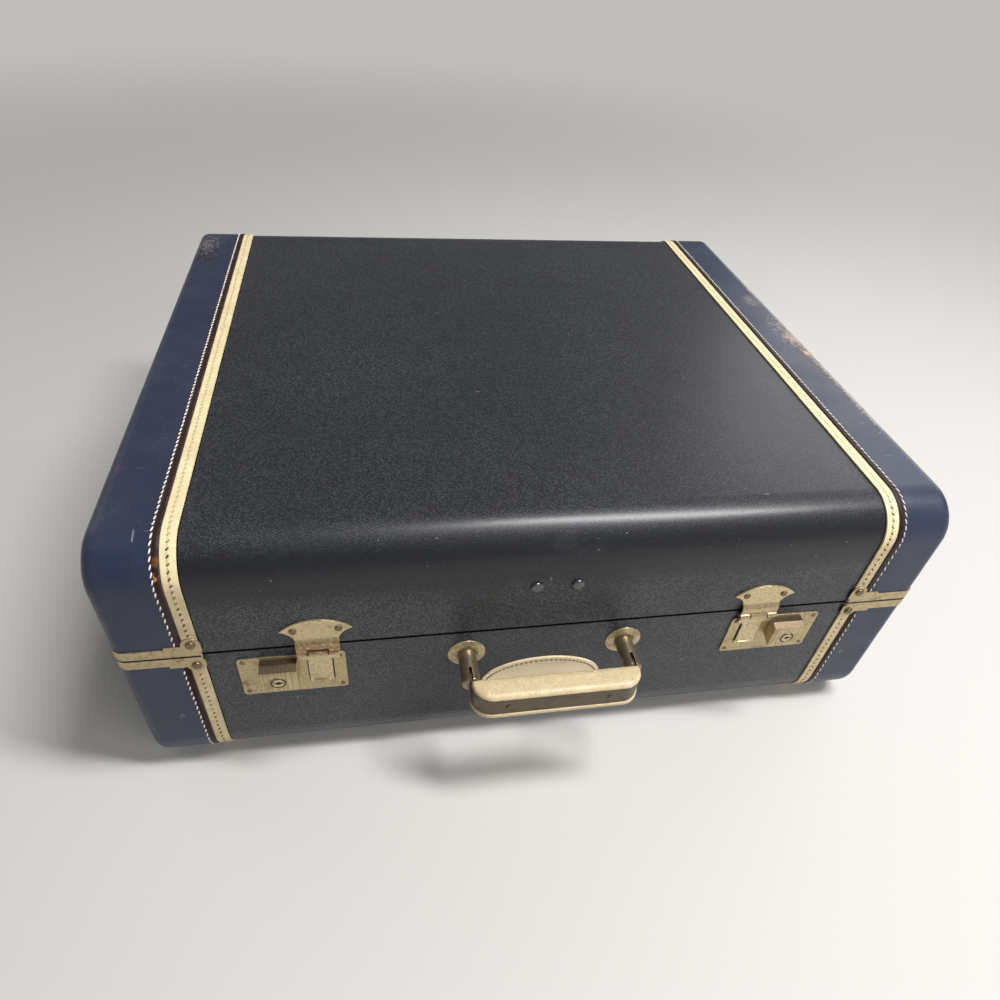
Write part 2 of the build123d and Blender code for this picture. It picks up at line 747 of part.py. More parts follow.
def foot(z):
    """A dome foot on the back wall."""
    return to_back(dome(foot_x, z, glue_line, foot_radius, foot_height, 0.7))


# The lid stays: two equal arms each side, as long as their pivots are from the hinge pin, so that
# hinge, pivots and elbow stay the corners of a rhombus while the lid swings

hinge_y = front_face + hinge_proud
body_angle = math.asin(stay_body_drop / stay_reach)
lid_angle = math.asin(stay_lid_rise / stay_reach)
body_pivot = (hinge_y - stay_reach * math.cos(body_angle), hinge_z - stay_body_drop)
lid_pivot = (hinge_y - stay_reach * math.cos(lid_angle), hinge_z + stay_lid_rise)
elbow = (body_pivot[0] + lid_pivot[0] - hinge_y, body_pivot[1] + lid_pivot[1] - hinge_z)
frame_face = case_length / 2 - frame_inner
upper_x = frame_face - stay_wall_gap - stay_steel
lower_x = upper_x - stay_gap - stay_steel


def x_disc(x0, x1, spot, radius):
    """A round disc along X at a (Y, Z) spot."""
    face = Plane(origin=(x0, spot[0], spot[1]), x_dir=(0, 1, 0), z_dir=(1, 0, 0)) * Circle(radius)
    return extrude(face, amount=x1 - x0)


def arm(x0, start, end):
    """A flat arm with round ends between two pivots, (Y, Z) spots."""
    length = math.dist(start, end)
    angle = math.degrees(math.atan2(end[1] - start[1], end[0] - start[0]))
    face = SlotCenterToCenter(length, stay_height)
    middle = ((start[0] + end[0]) / 2, (start[1] + end[1]) / 2)
    plane = Plane(origin=(x0, middle[0], middle[1]), x_dir=(0, 1, 0), z_dir=(1, 0, 0))
    return extrude(plane * (Rot(0, 0, angle) * face), amount=stay_steel)


stud_bore = stay_stud_radius + running_gap
upper_arm = arm(upper_x, lid_pivot, elbow)
upper_arm = upper_arm - x_disc(upper_x - 1, upper_x + 4, lid_pivot, stud_bore)
upper_arm = upper_arm - x_disc(upper_x - 1, upper_x + 4, elbow, stay_stud_radius + elbow_gap)
lower_arm = arm(lower_x, body_pivot, elbow)
lower_arm = lower_arm - x_disc(lower_x - 1, lower_x + 4, body_pivot, stud_bore)
lower_arm += x_disc(lower_x + 0.5, upper_x + stay_steel + stay_gap, elbow, stay_stud_radius)
lower_arm += x_disc(upper_x + stay_steel + stay_gap, upper_x + stay_steel + stay_gap + stay_head,
                    elbow, stay_head_radius)
lower_arm += x_disc(lower_x - stay_head, lower_x + 0.5, elbow, stay_head_radius)


def stay_stud(x0, spot):
    """A stud standing in from the frame, with a collar behind its arm and a head in front."""
    stud = x_disc(x0 - stay_gap, frame_face + 3.0, spot, stay_stud_radius)
    stud += x_disc(x0 - stay_gap - stay_head, x0 - stay_gap, spot, stay_head_radius)
    stud += x_disc(x0 + stay_steel + stay_gap, frame_face - glue_line, spot, stay_head_radius)
    return stud


body_stud = stay_stud(lower_x, body_pivot)
lid_stud = stay_stud(upper_x, lid_pivot)

# The pocket lies against the lid's lining, towards the hinges

pocket_top = case_height - frame_inset - lining - glue_line
pocket_back = case_depth / 2 - top_radius - pocket_hinge_gap
pocket_y = pocket_back - pocket_depth / 2
pocket_outside = Pos(0, pocket_y, pocket_top - pocket_fullness / 2) * Box(
    pocket_length, pocket_depth, pocket_fullness)
pocket_outside = fillet(pocket_outside.edges().filter_by(Axis.Z).sort_by(Axis.Y)[-2:], pocket_corner)
pocket_inside = Pos(0, pocket_y - pocket_cloth, pocket_top - pocket_fullness / 2 + pocket_cloth) * Box(
    pocket_length - 2 * pocket_cloth, pocket_depth, pocket_fullness)
pocket_inside = fillet(pocket_inside.edges().filter_by(Axis.Z).sort_by(Axis.Y)[-2:],
                       pocket_corner - pocket_cloth)
pocket = pocket_outside - pocket_inside

# Files, one for each sub-part

save("body_shell", body_shell)
save("body_frame", body_frame)
save("body_canvas", body_canvas)
save("right_body_cap", between(cap_wall, -far, body_top))
save("left_body_cap", to_left(between(cap_wall, -far, body_top)))
save("body_welts", *both_sides(between(welt_wall, -far, body_top)))
save("body_lining", body_lining)
save("body_guards", *both_sides(body_guard))
body_rivet = guard_rivet(body_rivet_z)
body_rivets = [body_rivet, to_back(body_rivet)] + body_leaf_rivets
save("body_rivets", *[piece for rivet in body_rivets for piece in both_sides(rivet)])
save("right_lock_plate", lock_plate)
save("left_lock_plate", to_left(lock_plate))
save("right_lock_case", lock_case)
save("left_lock_case", to_left(lock_case))
save("lock_nails", *[piece for nail in lock_nails for piece in both_sides(nail)])
save("handle_washers", *both_sides(washer))
save("handle_posts", *both_sides(post))
save("handle_backplate", backplate)
save("handle_patch", patch)
save("hinge_body_leaves", *both_sides(body_leaf))
save("hinge_pins", *both_sides(hinge_pin))
save("body_feet", *both_sides(foot(body_foot_z)))
save("stay_body_studs", *both_sides(body_stud))
save("right_lock_spring", lock_spring)
save("left_lock_spring", to_left(lock_spring))

save("lid_shell", lid_shell)
save("lid_frame", lid_frame)
save("lid_canvas", lid_canvas)
save("right_lid_cap", between(cap_wall, lid_bottom, far))
save("left_lid_cap", to_left(between(cap_wall, lid_bottom, far)))
save("lid_welts", *both_sides(between(welt_wall, lid_bottom, far)))
save("lid_lining", lid_lining)
save("lid_guards", *both_sides(lid_guard))
lid_rivet = guard_rivet(lid_rivet_z)
lid_rivets = [lid_rivet, to_back(lid_rivet)] + lid_leaf_rivets
save("lid_rivets", *[piece for rivet in lid_rivets for piece in both_sides(rivet)])
save("lid_front_rivets", *both_sides(front_rivet))
save("hinge_lid_leaves", *both_sides(lid_leaf))
save("lid_feet", *both_sides(foot(lid_foot_z)))
save("right_hasp_plate", hasp_plate)
save("left_hasp_plate", to_left(hasp_plate))
save("hasp_rivets", *[piece for rivet in hasp_rivets for piece in both_sides(rivet)])
save("hasp_pins", *both_sides(hasp_pin))
save("stay_lid_studs", *both_sides(lid_stud))
save("lid_pocket", pocket)

save("right_hasp_tongue", hasp_tongue)
save("left_hasp_tongue", to_left(hasp_tongue))
save("right_slide_button", slide_button)
save("left_slide_button", to_left(slide_button))
save("right_slide_bolt", slide_bolt)
save("left_slide_bolt", to_left(slide_bolt))
save("right_key_cylinder", key_cylinder)
save("left_key_cylinder", to_left(key_cylinder))

save("handle_band", band)
save("grip_core", grip_core)
save("grip_top", grip_top)
save("grip_bottom", grip_bottom)
save("handle_rivets", *handle_rivets)
save("handle_pins", *both_sides(ear_pin))

save("right_stay_lower_arm", lower_arm)
save("left_stay_lower_arm", to_left(lower_arm))
save("right_stay_upper_arm", upper_arm)
save("left_stay_upper_arm", to_left(upper_arm))
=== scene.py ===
"""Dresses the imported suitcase: canvas, leather, welts, stitching, worn brass, the lid's pocket."""

import functools
import json
import logging
import math
import random
from dataclasses import dataclass
from enum import Enum
from typing import Any, Callable, Iterable, Iterator, Optional

import bmesh
import bpy
from bpy.types import Material, Mesh, Node, Object
from mathutils import Matrix, Vector, noise

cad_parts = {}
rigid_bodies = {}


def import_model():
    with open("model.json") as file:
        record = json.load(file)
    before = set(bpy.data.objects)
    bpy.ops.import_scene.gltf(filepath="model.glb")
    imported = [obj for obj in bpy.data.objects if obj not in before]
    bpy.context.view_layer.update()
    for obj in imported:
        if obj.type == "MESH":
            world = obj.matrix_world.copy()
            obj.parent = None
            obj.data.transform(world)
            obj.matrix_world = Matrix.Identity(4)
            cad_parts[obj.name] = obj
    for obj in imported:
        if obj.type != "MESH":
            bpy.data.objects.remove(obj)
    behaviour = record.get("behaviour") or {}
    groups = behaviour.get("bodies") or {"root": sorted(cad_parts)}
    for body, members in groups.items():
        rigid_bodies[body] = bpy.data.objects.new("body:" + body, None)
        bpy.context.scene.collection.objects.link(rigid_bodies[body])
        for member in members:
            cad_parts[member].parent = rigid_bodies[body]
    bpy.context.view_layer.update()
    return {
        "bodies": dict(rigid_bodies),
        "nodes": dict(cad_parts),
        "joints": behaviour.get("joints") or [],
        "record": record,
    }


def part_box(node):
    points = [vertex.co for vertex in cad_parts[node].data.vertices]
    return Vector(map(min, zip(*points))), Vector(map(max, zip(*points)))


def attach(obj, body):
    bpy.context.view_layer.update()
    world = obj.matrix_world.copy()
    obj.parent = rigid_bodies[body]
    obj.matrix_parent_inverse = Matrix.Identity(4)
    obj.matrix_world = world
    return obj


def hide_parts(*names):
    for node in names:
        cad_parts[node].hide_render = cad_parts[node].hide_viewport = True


log = logging.getLogger("suitcase")

MM = 0.001
CENTRE = 17.875 * MM
CANVAS_FRONT = 233.35 * MM
CASE_HEIGHT = 208.0 * MM
PARTING = 124.0 * MM
QUARTER = math.pi / 2

Socket = bpy.types.NodeSocket
Sockets = dict[str, Socket]
BMesh = bmesh.types.BMesh
Spot = tuple[float, float, float]
Colour = tuple[float, float, float]
Line = tuple[float, float, float, float]


def at(x: float, y: float, z: float) -> Vector:
    """A point of the case, in millimetres from the middle of its foot, as a place in the frame."""
    return Vector((x * MM, y * MM + CENTRE, z * MM))


def front(x: float, out: float, z: float) -> Vector:
    """A point in millimetres, with its depth counted outwards from the front wall's canvas."""
    return Vector((x * MM, -CANVAS_FRONT - out * MM + CENTRE, z * MM))


def eased(value: float) -> float:
    """A value held between 0 and 1, smooth at both ends."""
    held = min(1.0, max(0.0, value))
    return held * held * (3.0 - 2.0 * held)


class Half(Enum):
    """The two halves of the case, by the body that each rides on."""

    BODY = "case_body"
    LID = "lid"


class Side(Enum):
    """The two sides of the middle plane."""

    LEFT = -1
    RIGHT = 1


class Graph:
    """A node tree with short calls for its nodes, and the place that its patterns follow."""

    def __init__(self, tree: bpy.types.NodeTree, place: Optional[Socket] = None) -> None:
        """Wraps a tree."""
        self.tree = tree
        self.place = place or self.node("ShaderNodeTexCoord").outputs["Object"]

    def feed(self, node: Node, key: Any, value: Any) -> None:
        """Links a socket to a node's input, or sets the input to a constant."""
        if isinstance(value, Socket):
            self.tree.links.new(value, node.inputs[key])
        else:
            node.inputs[key].default_value = value

    def node(self, kind: str, inputs: Optional[dict[Any, Any]] = None, **settings: Any) -> Node:
        """Adds a node.

        Args:
            kind: The node's type name.
            inputs: Input name or number to a socket or a constant.
            settings: Attributes of the node, such as operation.

        Returns:
            The new node.
        """
        made = self.tree.nodes.new(kind)
        for name, value in settings.items():
            setattr(made, name, value)
        for key, value in (inputs or {}).items():
            self.feed(made, key, value)
        return made

    def math(self, operation: str, first: Any, second: Any = 0.0, third: Any = 0.0) -> Socket:
        """The result of a Math node."""
        inputs = {0: first, 1: second, 2: third}
        return self.node("ShaderNodeMath", inputs, operation=operation).outputs[0]

    def plus(self, first: Any, second: Any) -> Socket:
        """A sum."""
        return self.math("ADD", first, second)

    def minus(self, first: Any, second: Any) -> Socket:
        """A difference."""
        return self.math("SUBTRACT", first, second)

    def times(self, first: Any, second: Any) -> Socket:
        """A product."""
        return self.math("MULTIPLY", first, second)

    def scaled(self, value: Any, scale: Any, start: Any) -> Socket:
        """A start and a value times a scale."""
        return self.math("MULTIPLY_ADD", value, scale, start)

    def off(self, value: Any, centre: float = 0.0) -> Socket:
        """How far a value is from a centre, either way."""
        return self.math("ABSOLUTE", self.minus(value, centre))

    def vector(self, operation: str, first: Any, second: Any, output: int = 0) -> Socket:
        """The result of a Vector Math node."""
        inputs = {0: first, 1: second}
        return self.node("ShaderNodeVectorMath", inputs, operation=operation).outputs[output]

    def axis(self, name: str, vector: Optional[Socket] = None) -> Socket:
        """X, Y or Z of the place or of another vector."""
        return self.node("ShaderNodeSeparateXYZ", {0: vector or self.place}).outputs[name]

    def window(
        self, value: Any, low: Any, high: Any, bottom: float = 0.0, top: float = 1.0
    ) -> Socket:
        """A value brought from a span to the span bottom to top, smooth at both ends."""
        inputs = {0: value, 1: low, 2: high, 3: bottom, 4: top}
        return self.node("ShaderNodeMapRange", inputs, interpolation_type="SMOOTHSTEP").outputs[0]

    def between(self, value: Socket, low: float, high: float) -> Socket:
        """A mask that is 1 where a value lies between two limits."""
        above = self.math("GREATER_THAN", value, low)
        return self.times(above, self.math("LESS_THAN", value, high))

    def noise(
        self,
        scale: Any,
        detail: float = 4.0,
        rough: float = 0.55,
        stretch: Optional[Spot] = None,
        turn: Spot = (0.0, 0.0, 0.0),
    ) -> Socket:
        """Noise over the place.

        Args:
            scale: How fine it is.
            detail: How many finer layers it has.
            rough: How far the finer layers count.
            stretch: Factors on the place's axes.
            turn: Angles by which the place is turned before they apply.

        Returns:
            The noise, about 0.5.
        """
        where = self.place
        if stretch:
            mapping = {"Vector": where, "Rotation": turn, "Scale": stretch}
            where = self.node("ShaderNodeMapping", mapping).outputs[0]
        inputs = {"Vector": where, "Scale": scale, "Detail": detail, "Roughness": rough}
        return self.node("ShaderNodeTexNoise", inputs).outputs[0]

    def rounded(self, radius: Any) -> Socket:
        """The normal with sharp edges rounded to a radius."""
        return self.node("ShaderNodeBevel", {"Radius": radius}, samples=4).outputs[0]

    def flat_normal(self) -> Socket:
        """The normal of the surface itself."""
        return self.node("ShaderNodeNewGeometry").outputs["Normal"]


@dataclass
class Effect:
    """A shader group that several finishes share, built on its first use.

    Its first input is the place. An input with no default is a vector, and the rest are numbers.
    What fills it takes the group's nodes and its inputs, and returns the sockets of its outputs.
    """

    fill: Callable[[Graph, Sockets], tuple[Socket, ...]]
    inputs: dict[str, Optional[float]]
    outputs: tuple[str, ...]
    tree: Optional[bpy.types.NodeTree] = None

    def _build(self) -> bpy.types.NodeTree:
        """Makes the group's sockets and its inside.

        Returns:
            The group's tree.
        """
        tree = bpy.data.node_groups.new(self.fill.__name__, "ShaderNodeTree")
        for key, default in {"Place": None, **self.inputs}.items():
            kind = "NodeSocketVector" if default is None else "NodeSocketFloat"
            socket = tree.interface.new_socket(key, in_out="INPUT", socket_type=kind)
            if default is not None:
                socket.default_value = default
        for key in self.outputs:
            tree.interface.new_socket(key, in_out="OUTPUT", socket_type="NodeSocketFloat")
        source = tree.nodes.new("NodeGroupInput").outputs
        graph = Graph(tree, source["Place"])
        sink = graph.node("NodeGroupOutput")
        for key, socket in zip(self.outputs, self.fill(graph, source)):
            graph.feed(sink, key, socket)
        return tree

    def add(self, graph: Graph, **values: Any) -> Sockets:
        """Adds the group to a material.

        Args:
            graph: The material's nodes.
            values: Input name to a socket or a constant.

        Returns:
            The outputs of the group's node, by name.
        """
        self.tree = self.tree or self._build()
        inputs = {"Place": graph.place, **values}
        return graph.node("ShaderNodeGroup", inputs, node_tree=self.tree).outputs


def effect(*outputs: str, **inputs: Optional[float]) -> Callable[[Callable], Effect]:
    """Gives a shader group its sockets.

    Args:
        outputs: The outputs' names.
        inputs: The defaults of the inputs after the place, by name.

    Returns:
        What turns the function that fills the group into the group.
    """
    return lambda fill: Effect(fill, inputs, outputs)


@effect("Mask", Scale=40.0, Cover=0.5, Blur=0.06)
def patina(graph: Graph, value: Sockets) -> tuple[Socket, ...]:
    """Soft blotches: two sizes of noise, cut at the level that leaves the share to cover."""
    coarse = graph.noise(value["Scale"], 5.0, 0.5)
    fine = graph.noise(graph.times(value["Scale"], 4.3), 6.0, 0.5)
    total = graph.plus(graph.times(coarse, 0.62), graph.times(fine, 0.38))
    level = graph.scaled(graph.minus(1.0, value["Cover"]), 0.5, 0.25)
    low = graph.minus(level, value["Blur"])
    return (graph.window(total, low, graph.scaled(value["Blur"], 2.0, low)),)


@effect("Mask", Centre=None, Reach=None, Grain=160.0, Ragged=4.0)
def scuff(graph: Graph, value: Sockets) -> tuple[Socket, ...]:
    """A ragged place round a point, used for wear and for spots of painted shade and highlight,
    which fades out over a box of a given size.
    """
    away = graph.vector("SUBTRACT", graph.place, value["Centre"])
    reaches = graph.vector("LENGTH", graph.vector("DIVIDE", away, value["Reach"]), (0, 0, 0), 1)
    grain = graph.minus(graph.noise(value["Grain"], 8.0, 0.7), 0.5)
    ragged = graph.plus(reaches, graph.times(grain, value["Ragged"]))
    return (graph.window(ragged, 0.95, 0.55),)


@effect("Height", "Chance", Pitch=1.8 * MM)
def weave(graph: Graph, value: Sockets) -> tuple[Socket, ...]:
    """Slanted rows of fine knots that follow the wall from the top down the front and the back."""
    slack = graph.times(graph.minus(graph.noise(70.0, 2.0), 0.5), 1.6 * MM)
    depth = graph.minus(graph.axis("Y"), CENTRE)
    fall = graph.minus(CASE_HEIGHT, graph.axis("Z"))
    along = graph.scaled(graph.math("SIGN", depth), fall, graph.plus(depth, slack))
    across = graph.plus(graph.axis("X"), slack)
    first = graph.plus(graph.times(across, 0.86), graph.times(along, 0.5))
    second = graph.minus(graph.times(along, 0.62), graph.times(across, 0.36))
    rows, columns = (graph.math("DIVIDE", way, value["Pitch"]) for way in (first, second))
    flat = graph.node("ShaderNodeCombineXYZ", {0: rows, 1: columns}).outputs[0]
    cells = {"Vector": flat, "Scale": 1.0, "Randomness": 0.42}
    knots = graph.node("ShaderNodeTexVoronoi", cells, voronoi_dimensions="2D").outputs
    chance = graph.node("ShaderNodeSeparateColor", {0: knots["Color"]}).outputs[0]
    return graph.window(knots["Distance"], 0.62, 0.08), chance


@effect("Height", Scale=900.0)
def hide(graph: Graph, value: Sockets) -> tuple[Socket, ...]:
    """The pebbled grain of leather, with slow waves under it."""
    cells = {"Vector": graph.place, "Scale": value["Scale"]}
    pebbles = graph.node("ShaderNodeTexVoronoi", cells, feature="SMOOTH_F1").outputs["Distance"]
    return (graph.scaled(pebbles, 0.5, graph.times(graph.noise(55.0, 3.0), 0.9)),)


@effect("Mask", Radius=0.4 * MM, Grain=240.0)
def rubbed_edge(graph: Graph, value: Sockets) -> tuple[Socket, ...]:
    """A broken mask along sharp edges, where hands and tables rub."""
    even = graph.vector("DOT_PRODUCT", graph.rounded(value["Radius"]), graph.flat_normal(), 1)
    broken = graph.window(graph.noise(value["Grain"], 4.0, 0.5), 0.40, 0.58)
    return (graph.times(graph.window(even, 0.985, 0.86), broken),)


class Coat(Graph):
    """The paint of one material: its nodes, its shader and the tone laid so far."""

    def __init__(self, name: str, colour: Colour, **constants: float) -> None:
        """Starts a material.

        Args:
            name: The material's name.
            colour: The tone under the rest.
            constants: What is the same all over the surface, by socket with _ for a space.
        """
        self.material = bpy.data.materials.new(name)
        self.material.use_nodes = True
        super().__init__(self.material.node_tree)
        self.shader = self.tree.nodes["Principled BSDF"]
        self.tone = colour
        self.set("Base Color", (*colour, 1.0))
        for key, value in constants.items():
            self.set(key.replace("_", " "), value)

    def set(self, key: str, value: Any) -> None:
        """Feeds the shader."""
        self.feed(self.shader, key, value)

    def lay(self, colour: Colour, mask: Any, share: Any = None) -> None:
        """Lays a colour on the tone.

        Args:
            colour: The colour.
            mask: Where it lies.
            share: How far it counts, as a factor on the mask.
        """
        under = self.tone if isinstance(self.tone, Socket) else (*self.tone, 1.0)
        covered = mask if share is None else self.times(mask, share)
        inputs = {0: covered, 6: under, 7: (*colour, 1.0)}
        self.tone = self.node("ShaderNodeMix", inputs, data_type="RGBA").outputs[2]
        self.set("Base Color", self.tone)

    def uneven(self, roughness: float, scale: float, swing: float) -> Socket:
        """A roughness that swings about its value, by noise of a scale."""
        return self.scaled(self.noise(scale), swing, roughness - swing / 2)

    def bump(self, height: Any, depth: float, strength: float = 0.5, rounding: float = 0.0) -> None:
        """Feeds a height to the shader's normal.

        Args:
            height: The height, from 0 to 1.
            depth: What a height of 1 stands for, in metres.
            strength: How far the bump counts.
            rounding: A radius to which sharp edges look rounded, in metres.
        """
        inputs = {"Height": height, "Distance": depth, "Strength": strength}
        if rounding:
            inputs["Normal"] = self.rounded(rounding)
        self.set("Normal", self.node("ShaderNodeBump", inputs).outputs[0])


@dataclass(frozen=True)
class Scuff:
    """A worn or stained place, and also a spot of painted shade and highlight: where it is, how far
    it reaches, its colour and its strength.
    """

    centre: Vector
    reach: Spot
    colour: Colour
    strength: float
    grain: float
    ragged: float

    def lay(self, coat: Coat) -> None:
        """Lays the place on a coat."""
        shape = {"Centre": self.centre, "Reach": self.reach, "Grain": self.grain}
        mask = scuff.add(coat, Ragged=self.ragged, **shape)["Mask"]
        coat.lay(self.colour, mask, self.strength)


@dataclass(frozen=True)
class Finish:
    """A finish: its name and the constants of its shader."""

    name: str
    colour: Colour
    roughness: float = 0.5
    metallic: float = 0.0
    specular: float = 0.5
    coat: float = 0.0
    coat_roughness: float = 0.3

    def start(self) -> Coat:
        """The finish's coat with its constants."""
        return Coat(
            self.name, self.colour, Roughness=self.roughness, Metallic=self.metallic,
            Specular_IOR_Level=self.specular, Coat_Weight=self.coat,
            Coat_Roughness=self.coat_roughness,
        )

    def paint(self, coat: Coat) -> None:
        """Lays on a coat what changes over the surface.

        Args:
            coat: The paint of the finish's material.
        """
        raise NotImplementedError

    def build(self) -> Material:
        """The painted material."""
        coat = self.start()
        self.paint(coat)
        return coat.material


@dataclass(frozen=True)
class Canvas(Finish):
    """Black painted canvas: rows of fine knots, lint, and painted shade in the gaps at the parting
    and beside the welts.

    The knots are laid stronger on the front as painted light. They fade away as painted shade over a
    span of heights on the curve above the front, and come back, weaker than on the front, from
    top_start up to top_end.
    """

    knot: Colour = (0.077, 0.082, 0.092)
    lint: Colour = (0.30, 0.30, 0.29)
    # The colour of the painted shade in the gaps.
    gap: Colour = (0.002, 0.002, 0.002)
    pitch: float = 1.4 * MM
    edge: float = 1.35 * MM
    welt_edge: float = 216.4 * MM
    polish_start: float = 156.0 * MM
    polish_end: float = 177.0 * MM
    top_start: float = 195.0 * MM
    top_end: float = 205.5 * MM
    smudges: tuple[Scuff, ...] = ()

    def paint(self, coat: Coat) -> None:
        """Lays knots with painted light on the front and painted shade on the curve, spots of
        painted shade and highlight, specks and fibres of lint, and painted shade in the gaps on a
        coat.
        """
        height = coat.axis("Z")
        knots = weave.add(coat, Pitch=self.pitch)
        cloud = patina.add(coat, Scale=7.0, Cover=0.5, Blur=0.16)["Mask"]
        lit = coat.times(knots["Height"], coat.scaled(knots["Chance"], 0.75, 0.12))
        # Painted light and shade: the knots count more on the front, fade on the curve above it, and
        # come back weaker on the top.
        front_light_curve_shade = coat.window(height, self.polish_start, self.polish_end, 1.5, 0.12)
        knot_light_share = coat.plus(front_light_curve_shade, coat.window(height, self.top_start, self.top_end, 0.0, 0.68))
        coat.lay(self.knot, lit, coat.times(coat.scaled(cloud, 0.35, 0.65), knot_light_share))
        # Spots of painted shade and painted highlight on the front.
        for painted_spot in self.smudges:
            painted_spot.lay(coat)
        coat.lay(self.lint, coat.window(coat.noise(430.0, 2.0), 0.745, 0.79), 0.6)
        fibres = coat.noise(95.0, 2.0, stretch=(1.0, 7.0, 1.0), turn=(0.3, 0.2, 0.9))
        coat.lay(self.lint, coat.window(fibres, 0.762, 0.78, 0.0, 0.5))
        # Painted shade in the gaps at the parting and beside the welts, where the coat is also taken
        # off and the surface made rough.
        parting_shade = coat.window(coat.off(height, PARTING), self.edge, 0.6 * self.edge)
        aside = coat.off(coat.off(coat.axis("X")), self.welt_edge)
        gap_shade_mask = coat.math("MAXIMUM", parting_shade, coat.window(aside, 0.6 * self.edge, 0.3 * self.edge))
        coat.lay(self.gap, gap_shade_mask)
        coat.set("Coat Weight", coat.times(coat.minus(1.0, gap_shade_mask), self.coat))
        rough = coat.uneven(self.roughness, 9.0, 0.24)
        coat.set("Roughness", coat.math("MAXIMUM", rough, gap_shade_mask))
        coat.bump(coat.scaled(coat.noise(13.0, 2.0), 3.0, knots["Height"]), 0.16 * MM)


@dataclass(frozen=True)
class Leather(Finish):
    """Painted leather with a fine grain, clouds, scratches, rubbed edges and worn spots.

    Low darkening is how much darker, in patches, it grows below the height soil_top, fading in down
    to soil_full.
    """

    pale: Colour = (0.050, 0.058, 0.078)
    rubbed: Colour = (0.16, 0.10, 0.075)
    rub: float = 0.6
    scratch: Colour = (0.20, 0.21, 0.23)
    scratches: float = 0.4
    cloud: float = 0.5
    grain: float = 700.0
    depth: float = 0.18 * MM
    scuffs: tuple[Scuff, ...] = ()
    rounding: float = 0.5 * MM
    edge: float = 1.2 * MM
    soil: float = 0.0
    soil_top: float = 192.0 * MM
    soil_full: float = 168.0 * MM
    freckle: float = 0.35
    speckle: float = 0.60
    cloud_scale: float = 11.0
    speckle_scale: float = 330.0

    def paint(self, coat: Coat) -> None:
        """Lays clouds, freckles, a darkening low down, scratches, rubbed edges and scuffs on a coat.
        """
        cloud = patina.add(coat, Scale=self.cloud_scale, Cover=0.5, Blur=0.14)["Mask"]
        coat.lay(self.pale, cloud, self.cloud)
        speckles = coat.noise(self.speckle_scale, 4.0, 0.65)
        freckles = coat.window(speckles, self.speckle, self.speckle + 0.12)
        coat.lay(self.rubbed, freckles, self.freckle * self.cloud)
        if self.soil:
            darker_below = coat.window(coat.axis("Z"), self.soil_top, self.soil_full, 0.0, self.soil)
            patchy = coat.window(coat.noise(85.0, 5.0, 0.65), 0.3, 0.7, 0.45, 1.0)
            coat.lay(self.rubbed, darker_below, patchy)
        wavy = coat.noise(62.0, 3.0, stretch=(1.0, 8.0, 1.0), turn=(0.4, 0.7, 0.5))
        coat.lay(self.scratch, coat.window(wavy, 0.705, 0.74, 0.0, self.scratches))
        edge = rubbed_edge.add(coat, Radius=self.edge, Grain=150.0)["Mask"]
        coat.lay(self.rubbed, edge, self.rub)
        for worn in self.scuffs:
            worn.lay(coat)
        coat.set("Roughness", coat.uneven(self.roughness, 35.0, 0.22))
        coat.bump(hide.add(coat, Scale=self.grain)["Height"], self.depth, 0.6, self.rounding)


@dataclass(frozen=True)
class Ring:
    """A ring of painted shade at both ends: its place, radius and width in metres, and its strength.
    """

    x: float
    z: float
    radius: float
    width: float
    strength: float

    def lay(self, coat: Coat, colour: Colour) -> None:
        """Lays painted shade, a dark core and a broken ring round it, on a coat, at both ends of the
        case.
        """
        aside = coat.minus(coat.off(coat.axis("X")), self.x)
        up = coat.minus(coat.axis("Z"), self.z)
        away = coat.math("SQRT", coat.plus(coat.times(aside, aside), coat.times(up, up)))
        core = 0.5 * self.radius
        coat.lay(colour, coat.window(away, core, 0.5 * core, 0.0, 0.8 * self.strength))
        off = coat.off(away, self.radius)
        rim = coat.window(off, self.width, 0.4 * self.width, 0.0, self.strength)
        coat.lay(colour, rim, coat.window(coat.noise(330.0, 3.0), 0.36, 0.46, 0.25, 1.0))


